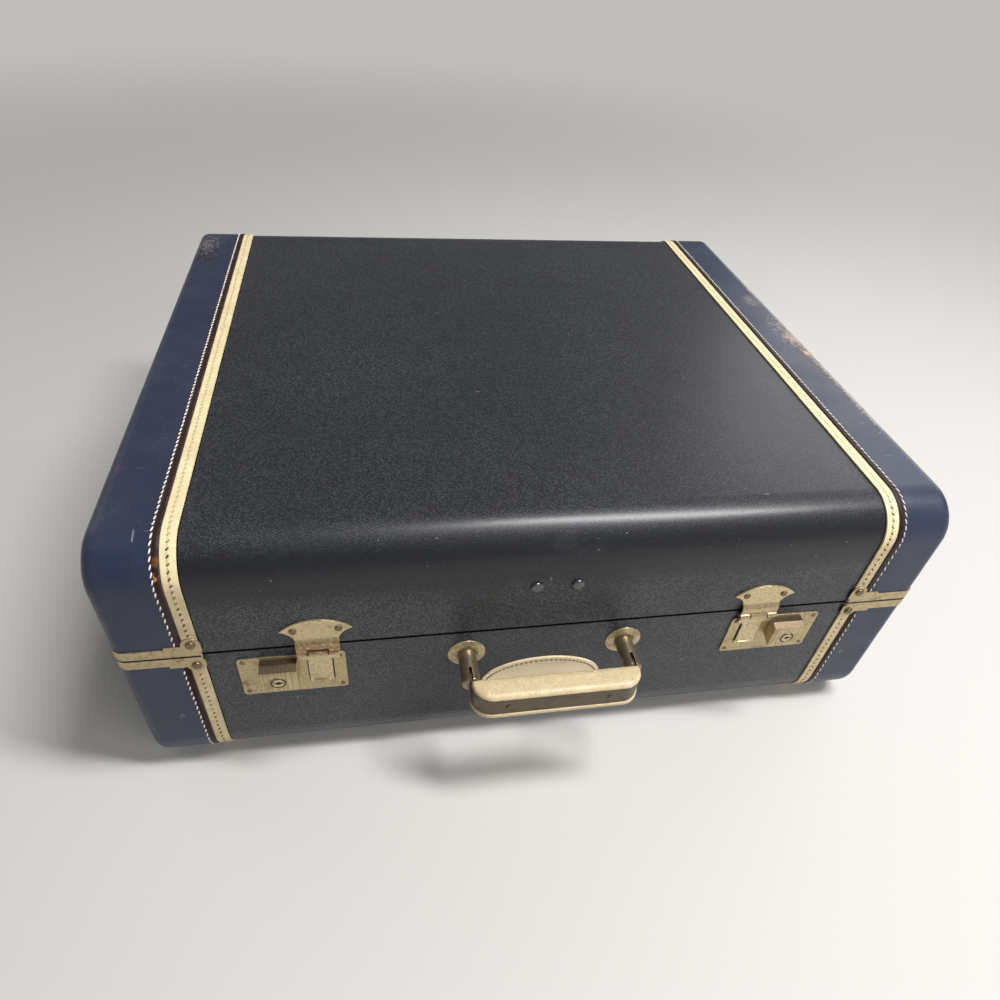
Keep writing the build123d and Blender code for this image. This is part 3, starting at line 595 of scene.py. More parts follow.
@dataclass(frozen=True)
class Metal(Finish):
    """Plated metal: fine stains, blotches and worn bright edges.

    Where asked, it has brushed streaks, grime between the heights of a crease, lines of painted
    shade in gaps, a ring of painted shade round a keyhole or in a washer's dish, and painted shade
    on the upper face, the shelf.
    """

    stain: Colour = (0.16, 0.105, 0.045)
    bright: Colour = (0.80, 0.73, 0.55)
    # The colour of the painted shade in a ring.
    soot: Colour = (0.03, 0.02, 0.012)
    cover: float = 0.30
    blotch: float = 60.0
    blotch_depth: float = 0.45
    freckle: float = 0.35
    edge: float = 0.35 * MM
    rub: float = 0.85
    streaks: float = 0.0
    shelf: float = 0.0
    crease: Optional[tuple[float, float]] = None
    lines: tuple[Line, ...] = ()
    ring: Optional[Ring] = None

    def _lay_grime(self, coat: Coat) -> None:
        """Lays brown grime in the crease on a coat, thicker on the left half of the case."""
        height = coat.axis("Z")
        low, high = self.crease
        above = coat.window(height, low - 2.0 * MM, low + MM)
        inside = coat.times(above, coat.window(height, high + 2.0 * MM, high - MM))
        grime = coat.times(inside, coat.window(coat.noise(420.0, 5.0, 0.7), 0.32, 0.56))
        share = coat.window(coat.axis("X"), -0.05, 0.05, 0.85, 0.35)
        coat.lay((0.29, 0.15, 0.08), grime, share)

    def _lay_lines(self, coat: Coat) -> None:
        """Lays the lines of painted shade in the gaps on a coat."""
        x, z = coat.axis("X"), coat.axis("Z")
        for across, low, high, width in self.lines:
            aside = coat.between(x, across * MM, (across + width) * MM)
            mask = coat.times(aside, coat.between(z, low * MM, high * MM))
            coat.lay((0.025, 0.016, 0.01), mask, 0.9)

    def paint(self, coat: Coat) -> None:
        """Lays stains, freckles, worn edges and the marks that were asked for on a coat."""
        stains = patina.add(coat, Scale=self.blotch, Cover=self.cover, Blur=0.10)["Mask"]
        coat.lay(self.stain, stains, self.blotch_depth)
        freckles = coat.window(coat.noise(540.0, 5.0, 0.75), 0.46, 0.66)
        coat.lay(self.stain, freckles, self.freckle)
        if self.streaks:
            brushed = coat.noise(900.0, 3.0, stretch=(1.0, 0.02, 0.02))
            coat.lay(self.stain, coat.window(brushed, 0.35, 0.75, 0.0, self.streaks))
        if self.crease:
            self._lay_grime(coat)
        coat.lay(self.bright, rubbed_edge.add(coat, Radius=self.edge)["Mask"], self.rub)
        # Painted shade in the gaps.
        if self.lines:
            self._lay_lines(coat)
        # Painted shade on faces that look up, the button's top shelf.
        if self.shelf:
            upward = coat.axis("Z", coat.flat_normal())
            coat.lay((0.07, 0.045, 0.03), coat.window(upward, 0.25, 0.7, 0.0, self.shelf))
        # Painted shade in and round a keyhole, or in a washer's dish.
        if self.ring:
            self.ring.lay(coat, self.soot)
        coat.set("Roughness", coat.scaled(stains, 0.18, self.roughness))
        brushed = coat.noise(120.0, 3.0, stretch=(14.0, 1.0, 1.0))
        coat.bump(brushed, 0.06 * MM, rounding=self.edge)


@dataclass(frozen=True)
class Plain(Finish):
    """Wood, board or thread: a cloudy tone, a fine bump and, where asked, another tone on top.

    The top tone fades in from the height top_start up.
    """

    second: Colour = (0.5, 0.4, 0.3)
    scale: Spot = (60.0, 60.0, 60.0)
    top: Optional[Colour] = None
    top_start: float = 203.0 * MM

    def paint(self, coat: Coat) -> None:
        """Lays the second tone in clouds, and the top tone, on a coat."""
        coat.lay(self.second, coat.window(coat.noise(1.0, 5.0, stretch=self.scale), 0.35, 0.65))
        if self.top:
            coat.lay(self.top, coat.window(coat.axis("Z"), self.top_start, CASE_HEIGHT, 0.0, 0.9))
        coat.bump(coat.noise(9.0, 3.0, stretch=self.scale), 0.2 * MM)


@dataclass(frozen=True)
class Cloth(Finish):
    """Woven cotton: threads both ways, slubs and a faded cloud."""

    second: Colour = (0.33, 0.285, 0.21)
    thread: float = 0.9 * MM

    def paint(self, coat: Coat) -> None:
        """Weaves two sine waves on a coat, and fades the tone by slubs and by the threads."""
        turn = 2 * math.pi / self.thread
        upright = coat.plus(coat.axis("Y"), coat.axis("Z"))
        warp = coat.math("SINE", coat.times(coat.axis("X"), turn))
        weft = coat.math("SINE", coat.times(upright, turn))
        height = coat.scaled(coat.times(warp, weft), 0.5, 0.5)
        slubs = coat.noise(60.0, 3.0, stretch=(1.0, 12.0, 12.0))
        coat.lay(self.second, coat.window(slubs, 0.4, 0.7))
        coat.lay(self.second, height, 0.25)
        coat.bump(height, 0.2 * MM)


TAN: Colour = (0.43, 0.235, 0.14)
SCRAPED: Colour = (0.23, 0.20, 0.17)
BARED: Colour = (0.055, 0.030, 0.022)
BROWNED: Colour = (0.10, 0.055, 0.04)
# The tone of the painted shade on the front.
FRONT_SHADE_TONE: Colour = (0.012, 0.012, 0.013)

CAP_SCUFFS: tuple[Scuff, ...] = (
    Scuff(at(261.0, -40.0, 208.0), (0.009, 0.070, 0.007), BARED, 0.8, 260.0, 9.0),
    Scuff(at(258.0, -33.0, 208.0), (0.0038, 0.0055, 0.005), TAN, 0.9, 300.0, 4.5),
    Scuff(at(258.5, 2.0, 208.0), (0.009, 0.022, 0.006), SCRAPED, 0.5, 330.0, 9.0),
    Scuff(at(257.5, -8.0, 208.0), (0.0042, 0.0065, 0.005), TAN, 0.65, 420.0, 9.0),
    Scuff(at(262.5, -74.0, 207.5), (0.0045, 0.046, 0.006), SCRAPED, 0.8, 270.0, 8.0),
    Scuff(at(252.0, 66.0, 208.0), (0.006, 0.008, 0.006), SCRAPED, 0.45, 420.0, 10.0),
    Scuff(at(262.5, -130.0, 207.5), (0.005, 0.030, 0.005), SCRAPED, 0.6, 240.0, 6.5),
    Scuff(at(264.0, 89.0, 207.5), (0.006, 0.014, 0.006), SCRAPED, 0.6, 240.0, 6.0),
    Scuff(at(-254.0, 166.0, 208.0), (0.012, 0.030, 0.008), (0.016, 0.013, 0.018), 0.8, 190.0, 8.0),
    Scuff(at(-257.0, 184.0, 207.0), (0.009, 0.020, 0.008), (0.17, 0.15, 0.14), 0.55, 330.0, 10.0),
    Scuff(at(-262.5, -180.0, 196.0), (0.006, 0.050, 0.030), BROWNED, 0.16, 150.0, 5.0),
    Scuff(at(-266.0, -214.0, 160.0), (0.008, 0.030, 0.040), BROWNED, 0.18, 170.0, 6.0),
    Scuff(at(-264.5, -232.0, 84.0), (0.004, 0.006, 0.006), (0.015, 0.010, 0.008), 0.9, 90.0, 2.0),
    Scuff(at(-239.0, -214.0, 206.5), (0.0007, 0.006, 0.004), (0.30, 0.32, 0.36), 0.4, 320.0, 1.5),
)

BINDING_SCUFFS: tuple[Scuff, ...] = (
    Scuff(at(-227.9, -230.5, 190.5), (0.003, 0.0035, 0.0038), (0.50, 0.205, 0.09), 0.9, 240.0, 3.2),
    Scuff(at(-227.2, -226.0, 199.0), (0.003, 0.005, 0.004), (0.26, 0.08, 0.03), 0.4, 260.0, 5.0),
)

# Two patches of painted shade on the front, and two faint painted highlights on the curve above it.
FRONT_SHADE_AND_HIGHLIGHTS: tuple[Scuff, ...] = (
    Scuff(at(-46.0, -234.0, 165.0), (0.026, 0.02, 0.022), FRONT_SHADE_TONE, 0.35, 30.0, 2.2),
    Scuff(at(35.0, -234.0, 158.0), (0.020, 0.02, 0.020), FRONT_SHADE_TONE, 0.3, 30.0, 2.2),
    Scuff(at(4.0, -232.0, 196.0), (0.013, 0.013, 0.008), (0.12, 0.125, 0.14), 0.05, 120.0, 4.0),
    Scuff(at(20.0, -233.0, 190.0), (0.010, 0.010, 0.007), (0.10, 0.105, 0.12), 0.04, 120.0, 4.0),
)


def both_ends(*lines: Line) -> tuple[Line, ...]:
    """Lines of painted shade in gaps, each as its inner x, low z, high z and width in millimetres,
    at both ends.
    """
    return lines + tuple((-across - width, low, high, width) for across, low, high, width in lines)


# Painted shade in the slots beside the hasp tongues and in the gaps round the hinge knuckles.
LOCK_GAP_SHADE = both_ends((155.75, 90.0, 111.5, 0.75))
LOCK_GAP_SHADE += ((139.3, 91.0, 109.5, 2.1), (-140.95, 90.0, 111.5, 0.9))
KNUCKLE_GAP_SHADE = both_ends(
    (154.2, 116.2, 122.4, 0.9), (141.7, 116.2, 122.4, 0.9), (141.9, 121.7, 122.7, 12.8)
)
# The plates and guards also get painted shade in the gap between the lid's guards and the body's.
PLATE_GAP_SHADE = LOCK_GAP_SHADE + both_ends((214.0, 123.15, 124.85, 60.0))

CREAM_WEAR: Colour = (0.20, 0.115, 0.055)
THREAD_GRAIN: Spot = (700.0, 700.0, 700.0)
STAINED = {"freckle": 0.55, "blotch_depth": 0.6, "edge": 0.5 * MM}

FINISHES = (
    Canvas(
        "black_canvas", (0.0095, 0.0103, 0.0130), 0.46, specular=0.16, coat=0.46,
        coat_roughness=0.29, smudges=FRONT_SHADE_AND_HIGHLIGHTS,
    ),
    Leather(
        "navy_leather", (0.0150, 0.0212, 0.0455), 0.38, specular=0.36, pale=(0.033, 0.041, 0.068),
        rub=0.4, scuffs=CAP_SCUFFS,
    ),
    Leather(
        "cream_welt", (0.70, 0.595, 0.355), pale=(0.52, 0.41, 0.235), rubbed=CREAM_WEAR, rub=0.35,
        scratches=0.0, grain=500.0, rounding=0.9 * MM, soil=0.5, speckle=0.54, cloud_scale=40.0,
    ),
    Leather(
        "tan_patch", (0.78, 0.65, 0.44), pale=(0.66, 0.52, 0.32), rubbed=CREAM_WEAR, rub=0.2,
        scratch=CREAM_WEAR, scratches=0.85, grain=650.0,
    ),
    Leather(
        "cream_grip", (0.53, 0.425, 0.245), 0.45, pale=(0.38, 0.28, 0.155),
        rubbed=(0.68, 0.61, 0.46), scratch=CREAM_WEAR, scratches=0.35, cloud=0.55, grain=420.0,
        depth=0.5 * MM, freckle=0.8, speckle=0.52, cloud_scale=150.0, speckle_scale=760.0,
    ),
    Leather(
        "brown_binding", (0.017, 0.008, 0.007), specular=0.2, pale=(0.034, 0.016, 0.012),
        rubbed=(0.10, 0.05, 0.035), grain=800.0, scuffs=BINDING_SCUFFS,
    ),
    Metal("worn_brass", (0.49, 0.395, 0.225), 0.36, 0.82, lines=PLATE_GAP_SHADE, **STAINED),
    Metal("fitting_brass", (0.54, 0.435, 0.245), 0.38, 0.82, **STAINED),
    Metal(
        "creased_brass", (0.62, 0.51, 0.30), 0.34, 0.82, rub=1.0, edge=0.5 * MM, freckle=0.5,
        crease=(117.0 * MM, 129.5 * MM), lines=LOCK_GAP_SHADE + KNUCKLE_GAP_SHADE,
    ),
    Metal("brushed_brass", (0.60, 0.49, 0.29), 0.33, 0.85, streaks=0.7, shelf=0.85),
    Metal(
        "keyed_brass", (0.60, 0.49, 0.29), 0.34, 0.85,
        ring=Ring(174.3 * MM, 100.2 * MM, 4.3 * MM, 0.95 * MM, 0.92),
    ),
    Metal(
        "dished_brass", (0.56, 0.455, 0.26), 0.36, 0.82, freckle=0.7, cover=0.45, blotch=90.0,
        edge=0.8 * MM, rub=1.0, ring=Ring(54.3 * MM, 102.5 * MM, 6.4 * MM, 1.9 * MM, 0.55),
    ),
    Metal(
        "dark_bronze", (0.125, 0.098, 0.068), 0.33, 0.85, stain=(0.085, 0.065, 0.048),
        bright=(0.55, 0.47, 0.36), cover=0.4, blotch=32.0, freckle=0.25,
    ),
    Metal(
        "worn_post", (0.34, 0.27, 0.18), 0.32, 0.85, stain=(0.11, 0.085, 0.06),
        bright=(0.60, 0.52, 0.40), cover=0.4, blotch=40.0, freckle=0.25,
    ),
    Metal(
        "browned_rivet", (0.21, 0.155, 0.085), 0.35, 0.85, stain=(0.07, 0.05, 0.028),
        bright=(0.42, 0.34, 0.2), rub=0.5,
    ),
    Metal(
        "blackened_stud", (0.12, 0.13, 0.14), 0.24, 0.8, stain=(0.04, 0.04, 0.045),
        bright=(0.32, 0.33, 0.34), rub=0.5,
    ),
    Metal(
        "plated_steel", (0.52, 0.52, 0.50), 0.3, 0.9, stain=(0.20, 0.17, 0.14),
        bright=(0.8, 0.8, 0.78), cover=0.25,
    ),
    Plain("fibreboard", (0.30, 0.21, 0.13), 0.85, second=(0.22, 0.15, 0.09)),
    Plain(
        "frame_wood", (0.42, 0.27, 0.13), 0.6, second=(0.28, 0.165, 0.075),
        scale=(8.0, 8.0, 160.0),
    ),
    Cloth("lining_cloth", (0.40, 0.35, 0.26), 0.9),
    Plain(
        "cream_thread", (0.76, 0.71, 0.60), 0.65, second=(0.58, 0.51, 0.39), scale=THREAD_GRAIN
    ),
    Plain("welt_thread", (0.62, 0.51, 0.31), 0.7, second=(0.50, 0.39, 0.22), scale=THREAD_GRAIN),
    Plain(
        "brown_thread", (0.065, 0.034, 0.018), 0.7, second=(0.15, 0.085, 0.045), scale=THREAD_GRAIN
    ),
    Plain(
        "needle_mark", (0.085, 0.046, 0.025), 0.7, second=(0.26, 0.17, 0.09),
        scale=(90.0, 90.0, 90.0), top=(0.46, 0.37, 0.21),
    ),
)


@functools.cache
def material(name: str) -> Material:
    """The material of a finish, built on its first use."""
    return next(finish for finish in FINISHES if finish.name == name).build()


def dress(node: Object, finish: str) -> None:
    """Gives every material slot of an object one finish."""
    if not node.material_slots:
        node.data.materials.append(material(finish))
    for slot in node.material_slots:
        slot.material = material(finish)


def as_mesh(bm: BMesh, name: str) -> Mesh:
    """A mesh from a bmesh, which is freed."""
    mesh = bpy.data.meshes.new(name)
    bm.to_mesh(mesh)
    bm.free()
    return mesh


def linked(thing: Object) -> Object:
    """An object, once it is in the scene."""
    bpy.context.scene.collection.objects.link(thing)
    return thing


def finish_mesh(bm: BMesh, name: str, surface: Material, smooth: bool = True) -> Object:
    """Turns a bmesh into an object of the scene.

    Args:
        bm: The finished bmesh, which is freed.
        name: The piece's name.
        surface: The piece's material.
        smooth: Whether its faces are shaded smooth.

    Returns:
        The object, at the origin.
    """
    bmesh.ops.recalc_face_normals(bm, faces=bm.faces)
    mesh = as_mesh(bm, name)
    if smooth:
        mesh.shade_smooth()
    mesh.materials.append(surface)
    return linked(bpy.data.objects.new(name, mesh))


def repeat(unit: Mesh, places: Iterable[Matrix]) -> BMesh:
    """Copies a mesh to many places.

    Args:
        unit: The mesh of one copy, which is removed at the end.
        places: The place of each copy.

    Returns:
        A bmesh with all the copies.
    """
    bm = bmesh.new()
    for place in places:
        copy = unit.copy()
        copy.transform(place)
        bm.from_mesh(copy)
        bpy.data.meshes.remove(copy)
    bpy.data.meshes.remove(unit)
    return bm


def grain_of_thread(name: str, size: Spot) -> Mesh:
    """Makes one stitch.

    Args:
        name: The mesh's name.
        size: The length along X, the width and the thickness, in millimetres.

    Returns:
        A plump grain of thread at the origin.
    """
    bm = bmesh.new()
    bmesh.ops.create_uvsphere(bm, u_segments=8, v_segments=5, radius=0.5)
    bmesh.ops.scale(bm, vec=Vector(size) * MM, verts=bm.verts)
    mesh = as_mesh(bm, name)
    mesh.shade_smooth()
    return mesh


Step = tuple[float, float, float]
Arc = tuple[float, float]


@dataclass
class Outline:
    """The side view of the case at one inset, as a path that stitches can follow."""

    inset: float = 0.0
    depth: float = 469.0
    height: float = 208.0
    top_radius: float = 28.0
    bottom_radius: float = 34.0

    def _stretches(self) -> tuple[Arc, ...]:
        """Each straight and each left-turning quarter, from the front end of the foot on."""
        across, up = self.depth - 2 * self.inset, self.height - 2 * self.inset
        top, bottom = self.top_radius - self.inset, self.bottom_radius - self.inset
        face = (up - bottom - top, 0.0)
        low, high = (QUARTER * bottom, bottom), (QUARTER * top, top)
        return (across - 2 * bottom, 0.0), low, face, high, (across - 2 * top, 0.0), high, face, low

    @staticmethod
    def _ahead(start: Step, distance: float, radius: float) -> Step:
        """Goes along a straight or an arc.

        Args:
            start: The (Y, Z, heading) that it starts from.
            distance: How far to go.
            radius: The arc's radius, or 0 for a straight.

        Returns:
            The (Y, Z, heading) there.
        """
        y, z, heading = start
        if not radius:
            return y + distance * math.cos(heading), z + distance * math.sin(heading), heading
        turned = heading + distance / radius
        y += radius * (math.sin(turned) - math.sin(heading))
        z -= radius * (math.cos(turned) - math.cos(heading))
        return y, z, turned

    def walk(self, pitch: float, phase: float, upright: float) -> Iterator[Step]:
        """Evenly spaced (Y, Z, heading) once round the outline.

        Args:
            pitch: The space between two places.
            phase: Where in its space each place lies, from 0 to 1.
            upright: How much wider the spaces are on the front and back faces.

        Yields:
            Each place and its heading.
        """
        faces = (2, 6)
        stretches = self._stretches()
        strides = [pitch * (upright if k in faces else 1.0) for k in range(len(stretches))]
        counts = [length / stride for (length, _), stride in zip(stretches, strides)]
        total = sum(counts)
        count = round(total)
        place = (self.bottom_radius - self.depth / 2, self.inset, 0.0)
        index, gone = 0, 0.0
        for k in range(count):
            travelled = (k + phase) * total / count
            while index < len(stretches) - 1 and travelled - gone > counts[index]:
                place = self._ahead(place, *stretches[index])
                gone += counts[index]
                index += 1
            yield self._ahead(place, (travelled - gone) * strides[index], stretches[index][1])


@dataclass
class StitchRow:
    """A row of stitches or needle holes round the case, in both halves and at both ends.

    Sizes are in millimetres. A row stops at clear_above and clear_below, the guards' edges.
    """

    name: str
    finish: str
    x: float
    size: Spot
    slant: float
    lift: float
    inset: float = 0.1
    pitch: float = 4.3
    clear_above: float = 142.5
    clear_below: float = 108.0
    phase: float = 0.5
    stray: float = 4.0
    upright: float = 1.12

    def _places(self, half: Half) -> Iterator[Matrix]:
        """Finds each stitch of one half, at both ends.

        Args:
            half: The half of the case.

        Yields:
            The place of each stitch.
        """
        rng = random.Random(self.name + half.name)
        for side in Side:
            for y, z, heading in Outline(self.inset).walk(self.pitch, self.phase, self.upright):
                if z < self.clear_above if half is Half.LID else z > self.clear_below:
                    continue
                tangent = Vector((0, math.cos(heading), math.sin(heading)))
                outward = Vector((0, math.sin(heading), -math.cos(heading)))
                sideways = tangent.cross(outward)
                jitter = rng.uniform(-0.12, 0.12) * self.size[1]
                spot = at(side.value * (self.x + jitter), y, z) + outward * self.lift * MM
                spot.z = max(spot.z, 0.5 * self.size[2] * MM)
                basis = Matrix((tangent, sideways, outward)).transposed().to_4x4()
                angle = self.slant + rng.uniform(-self.stray, self.stray)
                twist = Matrix.Rotation(side.value * math.radians(angle), 4, "Z")
                yield Matrix.Translation(spot) @ basis @ twist

    def build(self) -> Iterator[Object]:
        """Makes the row.

        Yields:
            The row's two pieces, one riding on each half.
        """
        for half in Half:
            stitches = repeat(grain_of_thread(self.name + "_unit", self.size), self._places(half))
            name = f"{self.name}_{half.name.lower()}"
            piece = finish_mesh(stitches, name, material(self.finish))
            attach(piece, half.value)
            yield piece


STITCH_ROWS: tuple[StitchRow, ...] = (
    StitchRow("welt_stitches", "welt_thread", 220.8, (2.0, 0.9, 0.4), -42.0, 0.08),
    StitchRow(
        "welt_needle_holes", "needle_mark", 220.8, (3.0, 1.5, 0.32), -38.0, 0.03, phase=1.0,
        stray=12.0,
    ),
    StitchRow(
        "cap_stitches", "cream_thread", 229.75, (4.0, 1.05, 0.9), -15.0, 0.3, inset=0.0, pitch=4.4,
        clear_above=135.4, clear_below=112.6, upright=1.26,
    ),
)


@dataclass
class Binding:
    """The dark rolled strip between the welt and the cap's stitches, round each end."""

    middle: float = 227.25
    half_width: float = 1.75
    half_thickness: float = 0.5
    lid_start: float = 134.6
    body_start: float = 113.3
    arc_steps: int = 10
    round_steps: int = 12

    def _strip(self, half: Half, side: Side) -> BMesh:
        """Sweeps one closed strip from the front edge guard round to the back one.

        Args:
            half: The half of the case.
            side: The end of the case.

        Returns:
            The strip.
        """
        shape = Outline()
        reach = shape.depth / 2
        lid = half is Half.LID
        start = self.lid_start if lid else self.body_start
        radius = shape.top_radius if lid else shape.bottom_radius
        rise = 1.0 if lid else -1.0
        turn_z = shape.height - radius if lid else radius + self.half_thickness
        bm = bmesh.new()
        bmesh.ops.create_circle(bm, cap_ends=False, segments=self.round_steps, radius=1.0)
        section = (self.half_width * MM, self.half_thickness * MM, 1.0)
        bmesh.ops.scale(bm, vec=section, verts=bm.verts)
        bmesh.ops.translate(bm, vec=at(side.value * self.middle, -reach, start), verts=bm.verts)
        ring = list(bm.edges)
        runs = (
            (Vector((0, 0, rise * abs(turn_z - start) * MM)), 0.0, Vector()),
            (Vector(), -rise * math.pi / 2, at(0, -reach + radius, turn_z)),
            (Vector((0, (2 * reach - 2 * radius) * MM, 0)), 0.0, Vector()),
            (Vector(), -rise * math.pi / 2, at(0, reach - radius, turn_z)),
            (Vector((0, 0, -rise * abs(turn_z - start) * MM)), 0.0, Vector()),
        )
        for travel, angle, centre in runs:
            swept = bmesh.ops.spin(
                bm, geom=ring, cent=centre, axis=(1.0, 0.0, 0.0), dvec=travel, angle=angle,
                steps=self.arc_steps if angle else 1, use_merge=False, use_duplicate=False,
            )
            ring = [item for item in swept["geom_last"] if isinstance(item, bmesh.types.BMEdge)]
        ends = [edge for edge in bm.edges if edge.is_boundary]
        bmesh.ops.holes_fill(bm, edges=ends, sides=self.round_steps)
        return bm

    def build(self) -> Iterator[Object]:
        """Makes the four strips.

        Yields:
            Two pieces, one riding on each half.
        """
        for half in Half:
            whole = bmesh.new()
            for side in Side:
                part = as_mesh(self._strip(half, side), "binding_part")
                whole.from_mesh(part)
                bpy.data.meshes.remove(part)
            name = f"edge_binding_{half.name.lower()}"
            piece = finish_mesh(whole, name, material("brown_binding"))
            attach(piece, half.value)
            yield piece


@dataclass
class PatchStitching:
    """The oval patch's line of dark stitches."""

    half_width: float = 43.0
    half_height: float = 24.0
    centre_z: float = 66.5
    proud: float = 1.55
    margin: float = 3.0
    stitches: int = 70
    size: Spot = (2.5, 1.2, 0.6)

    def build(self) -> Iterator[Object]:
        """Makes the stitches.

        Yields:
            One piece, riding on the body.
        """
        upright = Matrix.Rotation(math.pi / 2, 4, "X")
        places = []
        a, b = self.half_width - self.margin, self.half_height - self.margin
        for k in range(self.stitches):
            angle = 2 * math.pi * k / self.stitches
            spot = front(a * math.cos(angle), self.proud, self.centre_z + b * math.sin(angle))
            heading = math.atan2(b * math.cos(angle), -a * math.sin(angle))
            twist = Matrix.Rotation(heading, 4, "Z")
            places.append(Matrix.Translation(spot) @ upright @ twist)
        stitches = repeat(grain_of_thread("patch_stitch_unit", self.size), places)
        piece = finish_mesh(stitches, "patch_stitches", material("brown_thread"))
        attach(piece, Half.BODY.value)
        yield piece


@dataclass
class GripPad:
    """One of the grip's two stuffed leather pads, formed from its node into a crowned cushion."""

    frame: dict[str, Any]
    node: str
    name: str
    outward: int
    crown: float = 0.55
    spread: float = 0.0
    voxel: float = 0.75
    end_fall: float = 6.0
    side_fall: float = 1.9
    spread_from: float = 0.7
    wrinkle: float = 0.10
    wrinkle_scale: tuple[float, float] = (260.0, 420.0)
    softenings: int = 3

    def _even(self) -> BMesh:
        """The node's mesh, remeshed to even faces and softened.

        Returns:
            The bmesh to form.
        """
        copy = bmesh.new()
        copy.from_mesh(self.frame["nodes"][self.node].data)
        bmesh.ops.remove_doubles(copy, verts=copy.verts, dist=0.01 * MM)
        mesh = as_mesh(copy, self.name + "_start")
        holder = linked(bpy.data.objects.new(mesh.name, mesh))
        remesh = holder.modifiers.new("even", "REMESH")
        remesh.mode = "VOXEL"
        remesh.voxel_size = self.voxel * MM
        evaluated = holder.evaluated_get(bpy.context.evaluated_depsgraph_get())
        even = bpy.data.meshes.new_from_object(evaluated)
        bpy.data.objects.remove(holder)
        bm = bmesh.new()
        bm.from_mesh(even)
        bpy.data.meshes.remove(even)
        for _ in range(self.softenings):
            bmesh.ops.smooth_vert(
                bm, verts=bm.verts, factor=0.5, use_axis_x=True, use_axis_y=True, use_axis_z=True
            )
        return bm

    def _crown(self, bm: BMesh) -> None:
        """Swells the pad's outer half towards its middle line, and wrinkles it slightly."""
        low, high = (Vector(corner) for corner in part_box(self.node))
        middle, half = (low + high) / 2, (high - low) / 2
        for vert in bm.verts:
            x, y = vert.co.x, vert.co.y
            share = (vert.co.z - middle.z) * self.outward / half.z
            if share <= 0:
                continue
            share = min(1.0, share)
            u, v = abs((x - middle.x) / half.x), abs((y - middle.y) / half.y)
            swell = eased((1.0 - u) * self.end_fall) * eased((1.0 - v) * self.side_fall) * share
            along, across = self.wrinkle_scale
            crease = noise.noise(Vector((x * along, y * across, 3.0 * self.outward)))
            ends = self.spread * eased((u - self.spread_from) * 4.0) * share * MM
            vert.co.x += math.copysign(ends, x)
            vert.co.y -= self.spread * eased((middle.y - y) / half.y) * share * MM
            vert.co.z += self.outward * (swell * self.crown + crease * self.wrinkle * share) * MM

    def build(self) -> Iterator[Object]:
        """Makes the pad.

        Yields:
            One piece, riding on the handle in its node's place.
        """
        bm = self._even()
        self._crown(bm)
        piece = finish_mesh(bm, self.name, material("cream_grip"))
        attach(piece, "handle")
        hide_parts(self.node)
        yield piece


